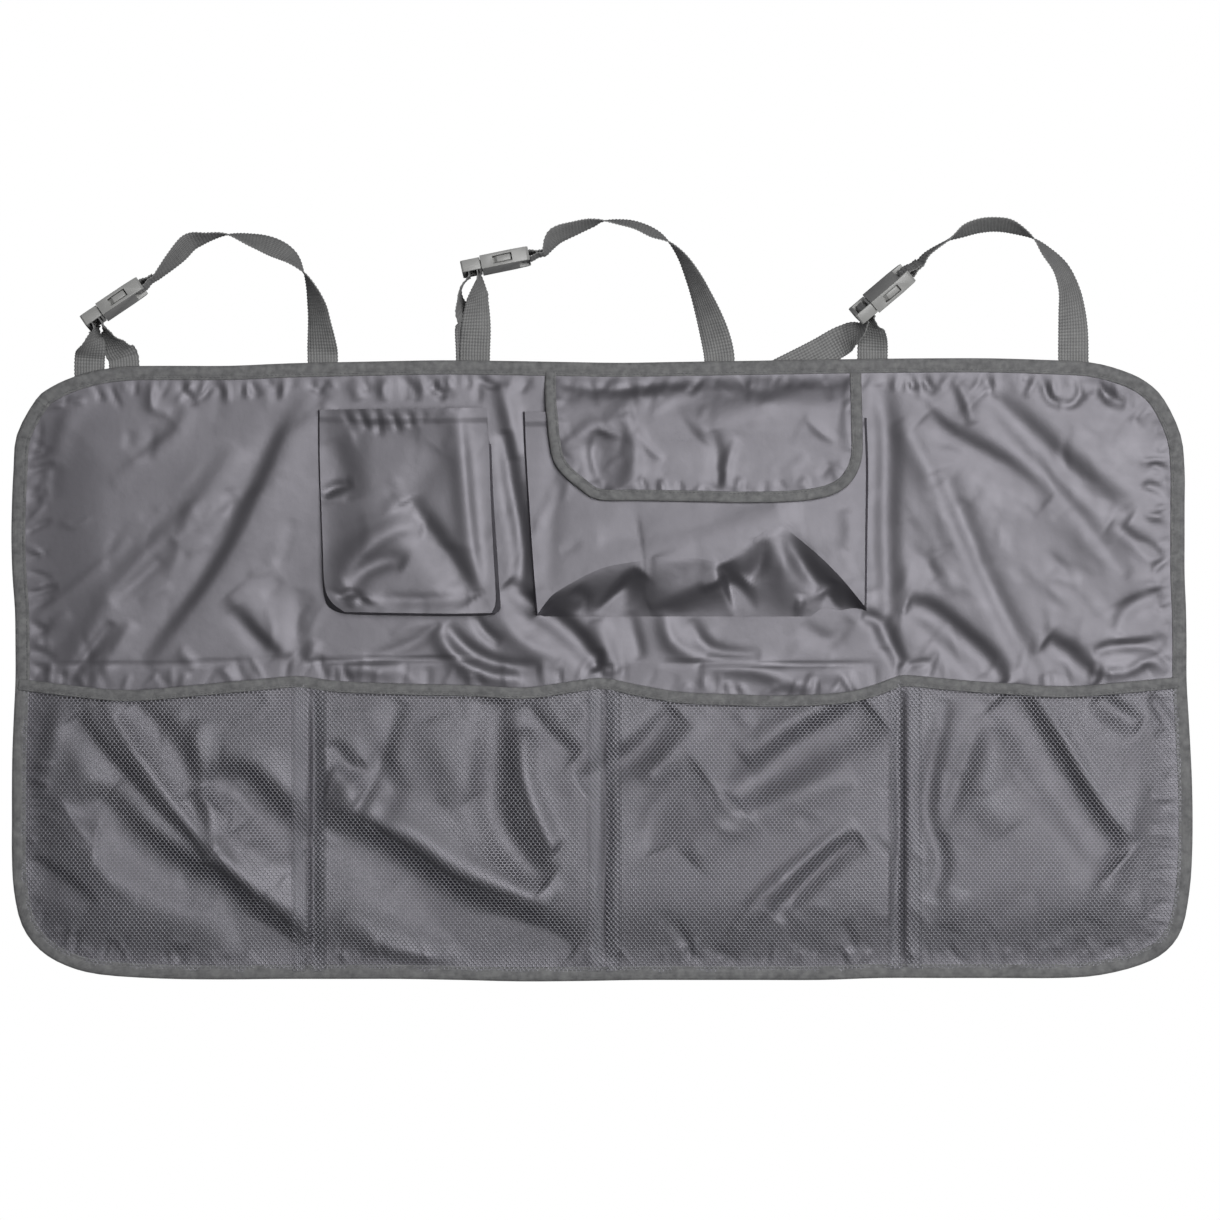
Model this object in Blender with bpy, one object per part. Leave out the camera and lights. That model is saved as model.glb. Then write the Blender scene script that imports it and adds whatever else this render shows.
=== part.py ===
"""Hanging trunk organizer: a sheet of coated polyester with two box pockets, four net
pockets and three webbing straps with side-release buckles, lying flat on its back.

Units are metres. +Z is up, +Y runs towards the straps, and the origin is the centre of
the panel's back face, on the surface that the organizer lies on.
"""

import math
from dataclasses import dataclass

import bmesh
import bpy
from mathutils import Matrix, Vector

# The panel and its cloths
PANEL_LENGTH = 0.8985
PANEL_HEIGHT = 0.4725
CORNER_RADIUS = 0.075
SHEET = 0.0008
NET = 0.0008
GAP = 0.0003
FLAT_MARGIN = 0.010
EDGE_RUN = 0.022
REST_PATCH = 0.034

# The folded tapes that bind the edges
TAPE = 0.0006
BINDING_WIDTH = 0.0107
MOUTH_TAPE_WIDTH = 0.0085
MOUTH_TAPE_START = 0.0155
FLAP_TAPE_WIDTH = 0.0084
FLAP_TAPE_START = 0.0060

# The webbing and how far its ends are sewn under the top binding
WEB_WIDTH = 0.0235
WEB = 0.0012
SEWN_LAP = 0.0125
LIFT_RUN = 0.050

# The net pockets: seam lines, mouth heights at the seams and the slack between them
SEAM_X = (-0.2225, 0.0023, 0.2309)
MOUTH_Y = (-0.0080, -0.0055, -0.0070, -0.0060, -0.0060)
MOUTH_SAG = (0.0095, 0.0050, 0.0120, 0.0070)
NET_BULGE = (0.0100, 0.0095, 0.0105, 0.0100)
SEAM_HALF = 0.0030
PLEAT_REACH = 0.0150
PLEAT_RISE = 0.0022
PLEAT_FADE = 0.0500
NET_RISE_RUN = 0.0300
NET_TOP_HEM = 0.0120
NET_BOTTOM_HEM = 0.0160
NET_SIDE_LINES = (0.0130, 0.0220)
NET_HOLE_COLUMNS = 5
NET_HOLE_ROWS = 4
DIAMOND_SHARE = 0.80

# The flap over the large pocket
FLAP_LEFT = -0.0434
FLAP_RIGHT = 0.1981
FLAP_DROP = 0.1070
FLAP_CORNER_LEFT = 0.0300
FLAP_CORNER_RIGHT = 0.0260
FLAP_SEWN_CLEAR = 0.0015
FLAP_CLIMB_END = 0.0040
FLAP_CLIMB_LINES = (0.0210, 0.0260, 0.0310, 0.0360, 0.0450, 0.0620)
PATCH = 0.0010
PATCH_LENGTH = 0.0400
PATCH_HEIGHT = 0.0180
PATCH_SHARES = (0.36, 0.64)
PATCH_ABOVE_TAPE = 0.0060

# The side-release buckle, along its length from the ladder end
BUCKLE_LENGTH = 0.0525
LATCH_LENGTH = 0.0150
LATCH_WIDTH = 0.0290
LATCH_THICKNESS = 0.0090
HOUSING_WIDTH = 0.0330
HOUSING_END_WIDTH = 0.0300
HOUSING_THICKNESS = 0.0105
RAIL = 0.0020
OUTER_BAR = 0.0030
LADDER_SLOT = 0.0035
BAR_THICKNESS = 0.0030
END_BAR = 0.0045
END_SLOT = 0.0040
WINDOW_START = 0.0245
WINDOW_END = 0.0395
CAVITY_WALL = 0.0023
PRONG_THICKNESS = 0.0048
PRONG_WIDTH = 0.0034
TONGUE_WIDTH = 0.0050
RUNNING_GAP = 0.0005
WEB_BEND = 0.0018
LOOP_EXIT = 0.0018
LOOP_MEET = 0.0060
LATCH_ROUNDING = 0.0012
HOUSING_ROUNDING = 0.0018
PAD_INSET = 0.0006
ARM_END_GAP = 0.0020
SEWN_FOLD = 0.0110
LONG_HELD_RUN = 0.0450
SHORT_HELD_RUN = 0.0220
EASE_ROUNDS = 200
EDGE_STEP = 0.0003

# How far inside the edge and beside the net's seams the panel's folds begin and end
FOLD_EDGE_RANGE = (0.0240, 0.0460)
FOLD_SEAM_RANGE = (0.0140, 0.0400)

# Heights of the layers at a bound edge, from the surface up
PANEL_EDGE_Z = TAPE + GAP
COVER_Z = PANEL_EDGE_Z + SHEET + GAP
UPPER_LEG_Z = COVER_Z + max(NET, SHEET) + GAP
STRAP_LIFT = 2 * (WEB + GAP)

HALF_LENGTH = PANEL_LENGTH / 2
HALF_HEIGHT = PANEL_HEIGHT / 2
TOP = HALF_HEIGHT

# Broad folds of the panel: start, end, half width and height of each ridge
PANEL_FOLDS = (
    (-0.372, 0.045, -0.285, 0.150, 0.016, 0.0042),
    (-0.285, 0.150, -0.245, 0.186, 0.014, 0.0030),
    (-0.300, 0.040, -0.262, 0.120, 0.013, 0.0034),
    (0.262, 0.186, 0.330, 0.150, 0.013, 0.0030),
    (0.300, 0.196, 0.405, 0.090, 0.015, 0.0042),
    (0.252, 0.130, 0.330, 0.020, 0.015, 0.0040),
    (-0.385, -0.100, -0.270, -0.185, 0.014, 0.0026),
    (-0.175, -0.105, -0.050, -0.190, 0.014, 0.0026),
    (0.175, -0.050, 0.060, -0.120, 0.014, 0.0026),
    (0.300, -0.060, 0.385, -0.150, 0.014, 0.0026),
)


def smoothstep(low, high, value):
    """0 below low, 1 above high and an S-curve between them."""
    share = min(max((value - low) / (high - low), 0.0), 1.0)
    return share * share * (3 - 2 * share)


def mix(a, b, share):
    return a + (b - a) * share


def inward(x, y):
    """Distance from the panel's outline towards its middle."""
    dx = abs(x) - (HALF_LENGTH - CORNER_RADIUS)
    dy = abs(y) - (HALF_HEIGHT - CORNER_RADIUS)
    outside = math.hypot(max(dx, 0.0), max(dy, 0.0))
    return CORNER_RADIUS - outside - min(max(dx, dy), 0.0)


def half_width(y, inset):
    """Half the width of the outline at a height, the outline drawn in by an inset."""
    depth = HALF_HEIGHT - inset - abs(y)
    radius = CORNER_RADIUS - inset
    if depth >= radius:
        return HALF_LENGTH - inset
    depth = max(depth, 0.0)
    return HALF_LENGTH - CORNER_RADIUS + math.sqrt(radius**2 - (radius - depth) ** 2)


def edge_lift(y):
    """How far the sewn strap ends hold the top edge off the surface."""
    full = TOP - SEWN_LAP - FLAT_MARGIN
    return STRAP_LIFT * smoothstep(full - LIFT_RUN, full, y)


def ridge(x, y, fold):
    """Height of one fold, a soft ridge along a line that fades at both ends."""
    x0, y0, x1, y1, half, height = fold
    run = Vector((x1 - x0, y1 - y0))
    place = Vector((x - x0, y - y0))
    along = place.dot(run) / run.length_squared
    beyond = max(-along, along - 1.0, 0.0) * run.length
    across = abs(place.cross(run)) / run.length
    distance = math.hypot(across, beyond)
    return height * math.exp(-((distance / half) ** 2))


def fold_height(x, y):
    """Sum of the folds, kept off the bindings, the net's seams and the resting patch."""
    quiet = smoothstep(*FOLD_EDGE_RANGE, inward(x, y))
    quiet *= smoothstep(REST_PATCH, 2 * REST_PATCH, math.hypot(x, y))
    if y < FOLD_SEAM_RANGE[0]:
        for seam in SEAM_X:
            quiet *= smoothstep(*FOLD_SEAM_RANGE, abs(x - seam))
    return quiet * sum(ridge(x, y, fold) for fold in PANEL_FOLDS)


def panel_under(x, y):
    """Height of the panel's back face."""
    reach = BINDING_WIDTH + FLAT_MARGIN
    at_edge = 1 - smoothstep(reach, reach + EDGE_RUN, inward(x, y))
    return PANEL_EDGE_Z * at_edge + edge_lift(y) + fold_height(x, y)


def panel_top(x, y):
    return panel_under(x, y) + SHEET


def remove_scene_objects():
    for obj in list(bpy.data.objects):
        bpy.data.objects.remove(obj, do_unlink=True)


def finish(name, colour, roughness, metallic=0.0):
    """One Principled material for one sub-part."""
    material = bpy.data.materials.new(name)
    material.use_nodes = True
    shader = material.node_tree.nodes["Principled BSDF"]
    shader.inputs["Base Color"].default_value = (*colour, 1.0)
    shader.inputs["Roughness"].default_value = roughness
    shader.inputs["Metallic"].default_value = metallic
    return material


def add_object(name, mesh, material):
    obj = bpy.data.objects.new(name, mesh)
    obj.data.materials.clear()
    obj.data.materials.append(material)
    bpy.context.scene.collection.objects.link(obj)
    return obj


def close_mesh(name, bm):
    """Face the closed surface outwards and hand it over as a mesh."""
    bmesh.ops.recalc_face_normals(bm, faces=bm.faces[:])
    mesh = bpy.data.meshes.new(name)
    bm.to_mesh(mesh)
    bm.free()
    return mesh


def sheet_mesh(name, under, thickness, diamonds=frozenset()):
    """A closed sheet over a grid of points of its back face.

    thickness is a function of row and column. Each cell named in diamonds gets a
    diamond-shaped hole.
    """
    bm = bmesh.new()
    rows = len(under)
    columns = len(under[0])
    low = [[bm.verts.new(p) for p in row] for row in under]
    high = [
        [
            bm.verts.new(p + Vector((0, 0, thickness(i, j))))
            for j, p in enumerate(row)
        ]
        for i, row in enumerate(under)
    ]
    for i in range(rows - 1):
        for j in range(columns - 1):
            cell = ((i, j), (i, j + 1), (i + 1, j + 1), (i + 1, j))
            if (i, j) in diamonds:
                pierce_cell(bm, low, high, cell)
            else:
                for layer in (low, high):
                    bm.faces.new([layer[r][c] for r, c in cell])
    rim = [(0, j) for j in range(columns)]
    rim += [(i, columns - 1) for i in range(1, rows)]
    rim += [(rows - 1, j) for j in range(columns - 2, -1, -1)]
    rim += [(i, 0) for i in range(rows - 2, 0, -1)]
    for (r0, c0), (r1, c1) in zip(rim, rim[1:] + rim[:1]):
        bm.faces.new([low[r0][c0], low[r1][c1], high[r1][c1], high[r0][c0]])
    return close_mesh(name, bm)


def pierce_cell(bm, low, high, cell):
    """Fill a cell of both faces around a diamond hole and wall the hole."""
    rings = []
    for layer in (low, high):
        corners = [layer[r][c] for r, c in cell]
        centre = sum((v.co for v in corners), Vector()) / 4
        points = []
        for a, b in zip(corners, corners[1:] + corners[:1]):
            middle = (a.co + b.co) / 2
            points.append(bm.verts.new(centre.lerp(middle, DIAMOND_SHARE)))
        for k in range(4):
            bm.faces.new([corners[k], corners[(k + 1) % 4], points[k]])
            bm.faces.new([corners[k], points[k], points[k - 1]])
        rings.append(points)
    for k in range(4):
        nxt = (k + 1) % 4
        bm.faces.new([rings[0][k], rings[0][nxt], rings[1][nxt], rings[1][k]])


def swept_mesh(name, rings, closed):
    """A solid through a row of equal rings, joined end to end or capped."""
    bm = bmesh.new()
    loops = [[bm.verts.new(p) for p in ring] for ring in rings]
    count = len(loops[0])
    pairs = list(zip(loops, loops[1:]))
    if closed:
        pairs.append((loops[-1], loops[0]))
    for a, b in pairs:
        for k in range(count):
            nxt = (k + 1) % count
            bm.faces.new([a[k], a[nxt], b[nxt], b[k]])
    if not closed:
        bm.faces.new(loops[0])
        bm.faces.new(loops[-1])
    return close_mesh(name, bm)


def tape_ring(x, y, inner, width, low_z, high_z):
    """Section of a tape folded over an edge, its fold at (x, y), opening along inner.

    low_z and high_z give the undersides of the two legs at a place.
    """
    profile = (
        (0.0, low_z, 0.0),
        (width, low_z, 0.0),
        (width, low_z, TAPE),
        (TAPE, low_z, TAPE),
        (TAPE, high_z, 0.0),
        (width, high_z, 0.0),
        (width, high_z, TAPE),
        (0.0, high_z, TAPE),
    )
    ring = []
    for depth, level, extra in profile:
        px = x + inner[0] * depth
        py = y + inner[1] * depth
        ring.append(Vector((px, py, level(px, py) + extra)))
    return ring


def outline_points(spacing, arc_steps):
    """Places round the panel with the direction inwards, counter-clockwise."""
    points = []
    straight_x = HALF_LENGTH - CORNER_RADIUS
    straight_y = HALF_HEIGHT - CORNER_RADIUS
    corners = ((1, 1, 0.0), (-1, 1, 90.0), (-1, -1, 180.0), (1, -1, 270.0))
    for sx, sy, start in corners:
        centre = Vector((sx * straight_x, sy * straight_y))
        for k in range(arc_steps + 1):
            angle = math.radians(start + 90.0 * k / arc_steps)
            out = Vector((math.cos(angle), math.sin(angle)))
            points.append((centre + out * CORNER_RADIUS, -out))
        length = 2 * (straight_x if sx == sy else straight_y)
        out = Vector((math.cos(angle), math.sin(angle)))
        run = Vector((-out.y, out.x))
        first = centre + out * CORNER_RADIUS
        steps = max(2, round(length / spacing))
        for k in range(1, steps):
            points.append((first + run * (length * k / steps), -out))
    return points


def make_panel(material):
    """The back panel, with its broad folds and its bound edge."""
    inset = TAPE + GAP
    reach = HALF_HEIGHT - inset
    edge = (0.0, 0.008, 0.021, 0.038, 0.058, 0.078)
    middle_rows = 8
    ys = [-reach + d for d in edge]
    inner = reach - edge[-1]
    ys += [mix(-inner, inner, k / middle_rows) for k in range(1, middle_rows)]
    ys += [reach - d for d in reversed(edge)]
    margins = (0.0, 0.014, 0.034)
    middle_columns = 26
    under = []
    for y in ys:
        wide = half_width(y, inset)
        xs = [-wide + d for d in margins]
        narrow = wide - margins[-1]
        xs += [
            mix(-narrow, narrow, k / middle_columns) for k in range(1, middle_columns)
        ]
        xs += [wide - d for d in reversed(margins)]
        under.append([Vector((x, y, panel_under(x, y))) for x in xs])
    mesh = sheet_mesh("back_panel", under, lambda i, j: SHEET)
    return add_object("back_panel", mesh, material)


def make_edge_binding(material):
    """The tape folded round the whole edge of the panel."""

    def lower(x, y):
        return edge_lift(y)

    def upper(x, y):
        return edge_lift(y) + UPPER_LEG_Z

    rings = [
        tape_ring(p.x, p.y, inner, BINDING_WIDTH, lower, upper)
        for p, inner in outline_points(0.090, 9)
    ]
    mesh = swept_mesh("edge_binding", rings, closed=True)
    return add_object("edge_binding", mesh, material)


NET_BOUNDS = (-HALF_LENGTH, *SEAM_X, HALF_LENGTH)
NET_POCKETS = ("far_left", "left", "right", "far_right")


def net_pocket(x):
    """Which net pocket a place lies in, and its share of the way across."""
    index = sum(x > seam for seam in SEAM_X)
    left = NET_BOUNDS[index]
    right = NET_BOUNDS[index + 1]
    return index, min(max((x - left) / (right - left), 0.0), 1.0)


def mouth_y(x):
    """Height on the panel of the net's top edge, slack between the seams."""
    index, share = net_pocket(x)
    line = mix(MOUTH_Y[index], MOUTH_Y[index + 1], share)
    return line - MOUTH_SAG[index] * 4 * share * (1 - share)


def net_under(x, y):
    """Height of the net's back face: down at its seams, loose between them."""
    index, share = net_pocket(x)
    top = mouth_y(x)
    drop = min(max((top - y) / (top + HALF_HEIGHT), 0.0), 1.0)
    across = math.sin(math.pi * share) ** 0.8
    down = math.cos(math.pi / 2 * drop**1.6) * (0.82 + 0.9 * drop * (1 - drop))
    reach = BINDING_WIDTH + FLAP_SEWN_CLEAR
    free = smoothstep(reach, reach + NET_RISE_RUN, inward(x, y))
    pleat = 0.0
    for seam in SEAM_X:
        away = abs(x - seam) - PLEAT_REACH / 2 - SEAM_HALF / 2
        pleat += math.exp(-((away / (0.3 * PLEAT_REACH)) ** 2))
    pleat *= PLEAT_RISE * smoothstep(0.0, PLEAT_FADE, top - y) * free
    side = HALF_LENGTH - abs(x)
    taped = smoothstep(BINDING_WIDTH + GAP, MOUTH_TAPE_START, side)
    taped *= 1 - smoothstep(2 * MOUTH_TAPE_START, 3 * MOUTH_TAPE_START, side)
    taped *= 1 - smoothstep(MOUTH_TAPE_WIDTH, 3 * MOUTH_TAPE_WIDTH, top - y)
    level = COVER_Z + (TAPE + GAP) * taped
    return level + NET_BULGE[index] * across * down * free + pleat


def net_columns():
    """Shares of each pocket's width where the net's grid lines run, and hole columns."""
    shares = []
    holes = []
    for index in range(4):
        width = NET_BOUNDS[index + 1] - NET_BOUNDS[index]
        first = PLEAT_REACH / 2 + SEAM_HALF / 2
        rims = (SEAM_HALF, SEAM_HALF / 2 + first, SEAM_HALF + PLEAT_REACH)
        bound = (TAPE + GAP, *NET_SIDE_LINES)
        left = bound if index == 0 else rims
        right = bound if index == 3 else rims
        places = [d / width for d in left]
        start, end = left[-1] / width, 1 - right[-1] / width
        for k in range(1, NET_HOLE_COLUMNS):
            places.append(mix(start, end, k / NET_HOLE_COLUMNS))
        places += [1 - d / width for d in reversed(right)]
        base = len(shares)
        holes += [base + 2 + k for k in range(NET_HOLE_COLUMNS)]
        shares += [(index, place) for place in places]
    return shares, holes


def make_net(material):
    """The net across the lower half, one cloth sewn down into four pockets."""
    columns, hole_columns = net_columns()
    bottom = HALF_HEIGHT - TAPE - GAP
    under = []
    hole_rows = range(2, 2 + NET_HOLE_ROWS)
    row_count = NET_HOLE_ROWS + 4
    for i in range(row_count + 1):
        row = []
        for index, place in columns:
            left = NET_BOUNDS[index]
            right = NET_BOUNDS[index + 1]
            x = mix(left, right, place)
            top = mouth_y(x) - TAPE - GAP
            inner_top = top - NET_TOP_HEM
            inner_low = -bottom + 2 * NET_BOTTOM_HEM
            if i <= 1:
                y = mix(top, inner_top, i)
            elif i <= 2 + NET_HOLE_ROWS:
                y = mix(inner_top, inner_low, (i - 1) / (NET_HOLE_ROWS + 1))
            else:
                y = mix(inner_low, -bottom, (i - 2 - NET_HOLE_ROWS) / 2)
            wide = half_width(y, TAPE + GAP)
            squeeze = (wide - SEAM_X[2]) / (HALF_LENGTH - TAPE - GAP - SEAM_X[2])
            if index == 3:
                x = SEAM_X[2] + (x - SEAM_X[2]) * squeeze
            if index == 0:
                squeeze = (wide + SEAM_X[0]) / (HALF_LENGTH - TAPE - GAP + SEAM_X[0])
                x = SEAM_X[0] + (x - SEAM_X[0]) * squeeze
            row.append(Vector((x, y, net_under(x, y))))
        under.append(row)
    diamonds = {(i, j) for i in hole_rows for j in hole_columns}
    mesh = sheet_mesh("mesh_net", under, lambda i, j: NET, diamonds)
    return add_object("mesh_net", mesh, material)


def net_level(x, y):
    """Height of the net's back face, straight across each seam."""
    for seam in SEAM_X:
        if abs(x - seam) < SEAM_HALF:
            low = net_under(seam - SEAM_HALF, y)
            high = net_under(seam + SEAM_HALF, y)
            return mix(low, high, (x - seam + SEAM_HALF) / (2 * SEAM_HALF))
    return net_under(x, y)


def make_mouth_tapes(material):
    """The tape folded over the net's top edge, one length for each net pocket."""

    def lower(x, y):
        return net_level(x, y) - GAP - TAPE

    def upper(x, y):
        return net_level(x, y) + NET + GAP

    columns, _ = net_columns()
    for index, pocket in enumerate(NET_POCKETS):
        left = NET_BOUNDS[index] + (MOUTH_TAPE_START if index == 0 else GAP / 2)
        right = NET_BOUNDS[index + 1] - (MOUTH_TAPE_START if index == 3 else GAP / 2)
        places = [
            mix(NET_BOUNDS[i], NET_BOUNDS[i + 1], share) for i, share in columns if i == index
        ]
        xs = [left] + [x for x in places if left < x - 0.002 and x + 0.002 < right] + [right]
        rings = [
            tape_ring(x, mouth_y(x), (0.0, -1.0), MOUTH_TAPE_WIDTH, lower, upper) for x in xs
        ]
        name = pocket + "_net_binding"
        add_object(name, swept_mesh(name, rings, closed=False), material)


@dataclass
class BoxPocket:
    """A pocket with a front sheet and a gusset round its sides and bottom."""

    name: str
    left: float
    right: float
    top: float
    bottom: float
    mouth_depth: float
    base_depth: float
    bow: float
    corner: float
    hem: float = 0.0100
    splay: float = 0.0050
    tuck: float = 0.0018

    def level(self, y):
        """Depth of the front at its rim, from the mouth to the bottom."""
        share = (self.top - y) / (self.top - self.bottom)
        fall = smoothstep(0.86, 1.0, share) * 0.2
        return mix(self.mouth_depth, self.base_depth, share**0.8) * (1 - fall)

    def crown(self, x):
        share = min(max((x - self.left) / (self.right - self.left), 0.0), 1.0)
        return self.bow * smoothstep(0.0, 0.3, share) * smoothstep(0.0, 0.3, 1 - share)

    def front_under(self, x, y):
        """Height of the front's back face."""
        return edge_lift(y) + self.level(y) + self.crown(x)

    def rim(self, inset, steps=5):
        """Down the left side, along the bottom and up the right side."""
        radius = self.corner - inset
        points = []
        left = self.left + inset
        right = self.right - inset
        low = self.bottom + inset
        side_steps = 5
        for k in range(side_steps):
            points.append((left, mix(self.top, low + radius, k / side_steps)))
        for k in range(steps + 1):
            angle = math.pi + math.pi / 2 * k / steps
            px = left + radius + radius * math.cos(angle)
            points.append((px, low + radius + radius * math.sin(angle)))
        bottom_steps = max(3, round((right - left) / 0.035))
        for k in range(1, bottom_steps):
            points.append((mix(left + radius, right - radius, k / bottom_steps), low))
        for k in range(steps + 1):
            angle = 1.5 * math.pi + math.pi / 2 * k / steps
            px = right - radius + radius * math.cos(angle)
            points.append((px, low + radius + radius * math.sin(angle)))
        for k in range(1, side_steps + 1):
            points.append((right, mix(low + radius, self.top, k / side_steps)))
        return points

    def make_front(self, material):
        """The front sheet, doubled along its hem."""
        hem_end = self.hem + 0.002
        depths = [0.0, self.hem, hem_end]
        height = self.top - self.bottom
        plain = 5
        last = self.corner
        for k in range(1, plain + 1):
            depths.append(mix(hem_end, height - last, k / plain))
        depths += [height - last * (1 - math.sin(math.radians(a))) for a in (30, 60, 90)]
        columns = 8
        under = []
        for depth in depths:
            y = self.top - depth
            into = self.corner - (y - self.bottom)
            inset = 0.0
            if into > 0:
                inset = self.corner - math.sqrt(max(self.corner**2 - into**2, 0.0))
            xs = [
                mix(self.left + inset, self.right - inset, k / columns)
                for k in range(columns + 1)
            ]
            under.append([Vector((x, y, self.front_under(x, y))) for x in xs])
        mesh = sheet_mesh(
            self.name + "_front", under, lambda i, j: 2 * SHEET if i < 2 else SHEET
        )
        return add_object(self.name + "_front", mesh, material)

    def make_gusset(self, material):
        """The strip that joins the front's rim to the panel."""
        seam = 0.0010
        outer = self.rim(-self.splay)
        middle = self.rim(self.tuck)
        upper = self.rim(seam)
        rings = []
        for k, (low, mid, high) in enumerate(zip(outer, middle, upper)):
            before = outer[max(k - 1, 0)]
            after = outer[min(k + 1, len(outer) - 1)]
            run = Vector((after[0] - before[0], after[1] - before[1])).normalized()
            into = Vector((-run.y, run.x, 0.0)) * SHEET
            foot = Vector((*low, panel_top(*low) + GAP))
            head = Vector((*high, self.front_under(*high) - GAP))
            knee = Vector((*mid, mix(foot.z, head.z, 0.5)))
            rings.append([foot, knee, head, head + into, knee + into, foot + into])
        mesh = swept_mesh(self.name + "_gusset", rings, closed=False)
        return add_object(self.name + "_gusset", mesh, material)


SMALL_POCKET = BoxPocket(
    name="small_pocket",
    left=-0.2150,
    right=-0.0800,
    top=0.1990,
    bottom=0.0420,
    mouth_depth=0.0100,
    base_depth=0.0200,
    bow=0.0030,
    corner=0.0160,
)
LARGE_POCKET = BoxPocket(
    name="large_pocket",
    left=-0.0560,
    right=0.2010,
    top=0.1975,
    bottom=0.0420,
    mouth_depth=0.0120,
    base_depth=0.0250,
    bow=0.0030,
    corner=0.0160,
)

# What lies between the large pocket's front and the flap: a hook and a loop patch
FLAP_CLEARANCE = 3 * GAP + 2 * PATCH
FLAP_LOW = TOP - FLAP_DROP


def flap_under(x, y):
    """Height of the flap's back face, from under the top binding to over the pocket."""
    sewn = TOP - BINDING_WIDTH - FLAP_SEWN_CLEAR
    over = LARGE_POCKET.top + FLAP_CLIMB_END
    pocket_y = min(y, LARGE_POCKET.top)
    rest = LARGE_POCKET.level(pocket_y) + LARGE_POCKET.bow + SHEET + FLAP_CLEARANCE
    rise = 1 - smoothstep(over, sewn, y)
    return edge_lift(y) + mix(COVER_Z, rest, rise)


def flap_side(y, side, inset=0.0):
    """The flap's side line at a height, drawn in by an inset and round its corner."""
    corner = FLAP_CORNER_LEFT if side < 0 else FLAP_CORNER_RIGHT
    corner -= inset
    into = min(max(corner - (y - FLAP_LOW - inset), 0.0), corner)
    shift = inset + corner - math.sqrt(corner**2 - into**2)
    return FLAP_LEFT + shift if side < 0 else FLAP_RIGHT - shift


def flap_rows(inset=0.0):
    """Depths of the flap's grid lines, close together where it climbs and curves."""
    climb = [BINDING_WIDTH + FLAP_TAPE_START, *FLAP_CLIMB_LINES]
    start = FLAP_DROP - max(FLAP_CORNER_LEFT, FLAP_CORNER_RIGHT)
    depths = [d for d in climb if d < start - 0.003] + [start]
    reach = FLAP_DROP - inset - start
    depths += [start + reach * math.sin(math.radians(a)) for a in (15, 30, 45, 60, 75, 90)]
    return depths


def make_flap(material):
    """The flap that hangs over the large pocket's mouth, sewn into the top binding."""
    inset = TAPE + GAP
    columns = 6
    under = []
    depths = [inset, BINDING_WIDTH + FLAP_SEWN_CLEAR] + flap_rows(inset)
    for depth in depths:
        y = TOP - depth
        left = flap_side(y, -1, inset)
        right = flap_side(y, 1, inset)
        xs = [mix(left, right, k / columns) for k in range(columns + 1)]
        under.append([Vector((x, y, flap_under(x, y))) for x in xs])
    mesh = sheet_mesh("pocket_flap", under, lambda i, j: SHEET)
    return add_object("pocket_flap", mesh, material)


def make_flap_binding(material):
    """The tape folded round the flap's two sides and its lower edge."""

    def lower(x, y):
        return flap_under(x, y) - GAP - TAPE

    def upper(x, y):
        return flap_under(x, y) + SHEET + GAP

    depths = flap_rows()
    left = [Vector((flap_side(TOP - d, -1), TOP - d)) for d in depths]
    right = [Vector((flap_side(TOP - d, 1), TOP - d)) for d in reversed(depths)]
    span = right[0] - left[-1]
    middle = [left[-1] + span * (k / 5) for k in range(1, 5)]
    path = left + middle + right
    rings = []
    for k, point in enumerate(path):
        run = path[min(k + 1, len(path) - 1)] - path[max(k - 1, 0)]
        inner = Vector((-run.y, run.x)).normalized()
        rings.append(tape_ring(point.x, point.y, inner, FLAP_TAPE_WIDTH, lower, upper))
    mesh = swept_mesh("flap_binding", rings, closed=False)
    return add_object("flap_binding", mesh, material)


def make_patch(name, share, under, material):
    """One hook or loop patch, sewn flat on the cloth that under describes."""
    centre_x = mix(LARGE_POCKET.left, LARGE_POCKET.right, share)
    low = FLAP_LOW + FLAP_TAPE_WIDTH + PATCH_ABOVE_TAPE
    xs = (centre_x - PATCH_LENGTH / 2, centre_x + PATCH_LENGTH / 2)
    grid = [
        [Vector((x, y, under(x, y))) for x in xs] for y in (low + PATCH_HEIGHT, low)
    ]
    return add_object(name, sheet_mesh(name, grid, lambda i, j: PATCH), material)


def make_patches(material):
    """The hook patches under the flap and the loop patches on the pocket's front."""

    def hook(x, y):
        return flap_under(x, y) - GAP - PATCH

    def loop(x, y):
        return LARGE_POCKET.front_under(x, y) + SHEET + GAP

    for side, share in zip(("left", "right"), PATCH_SHARES):
        make_patch("hook_patch_" + side, share, hook, material)
        make_patch("loop_patch_" + side, share, loop, material)


def box_mesh(name, low, high):
    bm = bmesh.new()
    bmesh.ops.create_cube(bm, size=1.0)
    low, high = Vector(low), Vector(high)
    for vert in bm.verts:
        vert.co = Vector(
            mix(low[axis], high[axis], vert.co[axis] + 0.5) for axis in range(3)
        )
    return close_mesh(name, bm)


def prism_mesh(name, outline, low, high):
    """An outline in the length and width plane, as thick as low to high."""
    rings = [[Vector((x, y, z)) for x, y in outline] for z in (low, high)]
    return swept_mesh(name, rings, closed=False)


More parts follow.
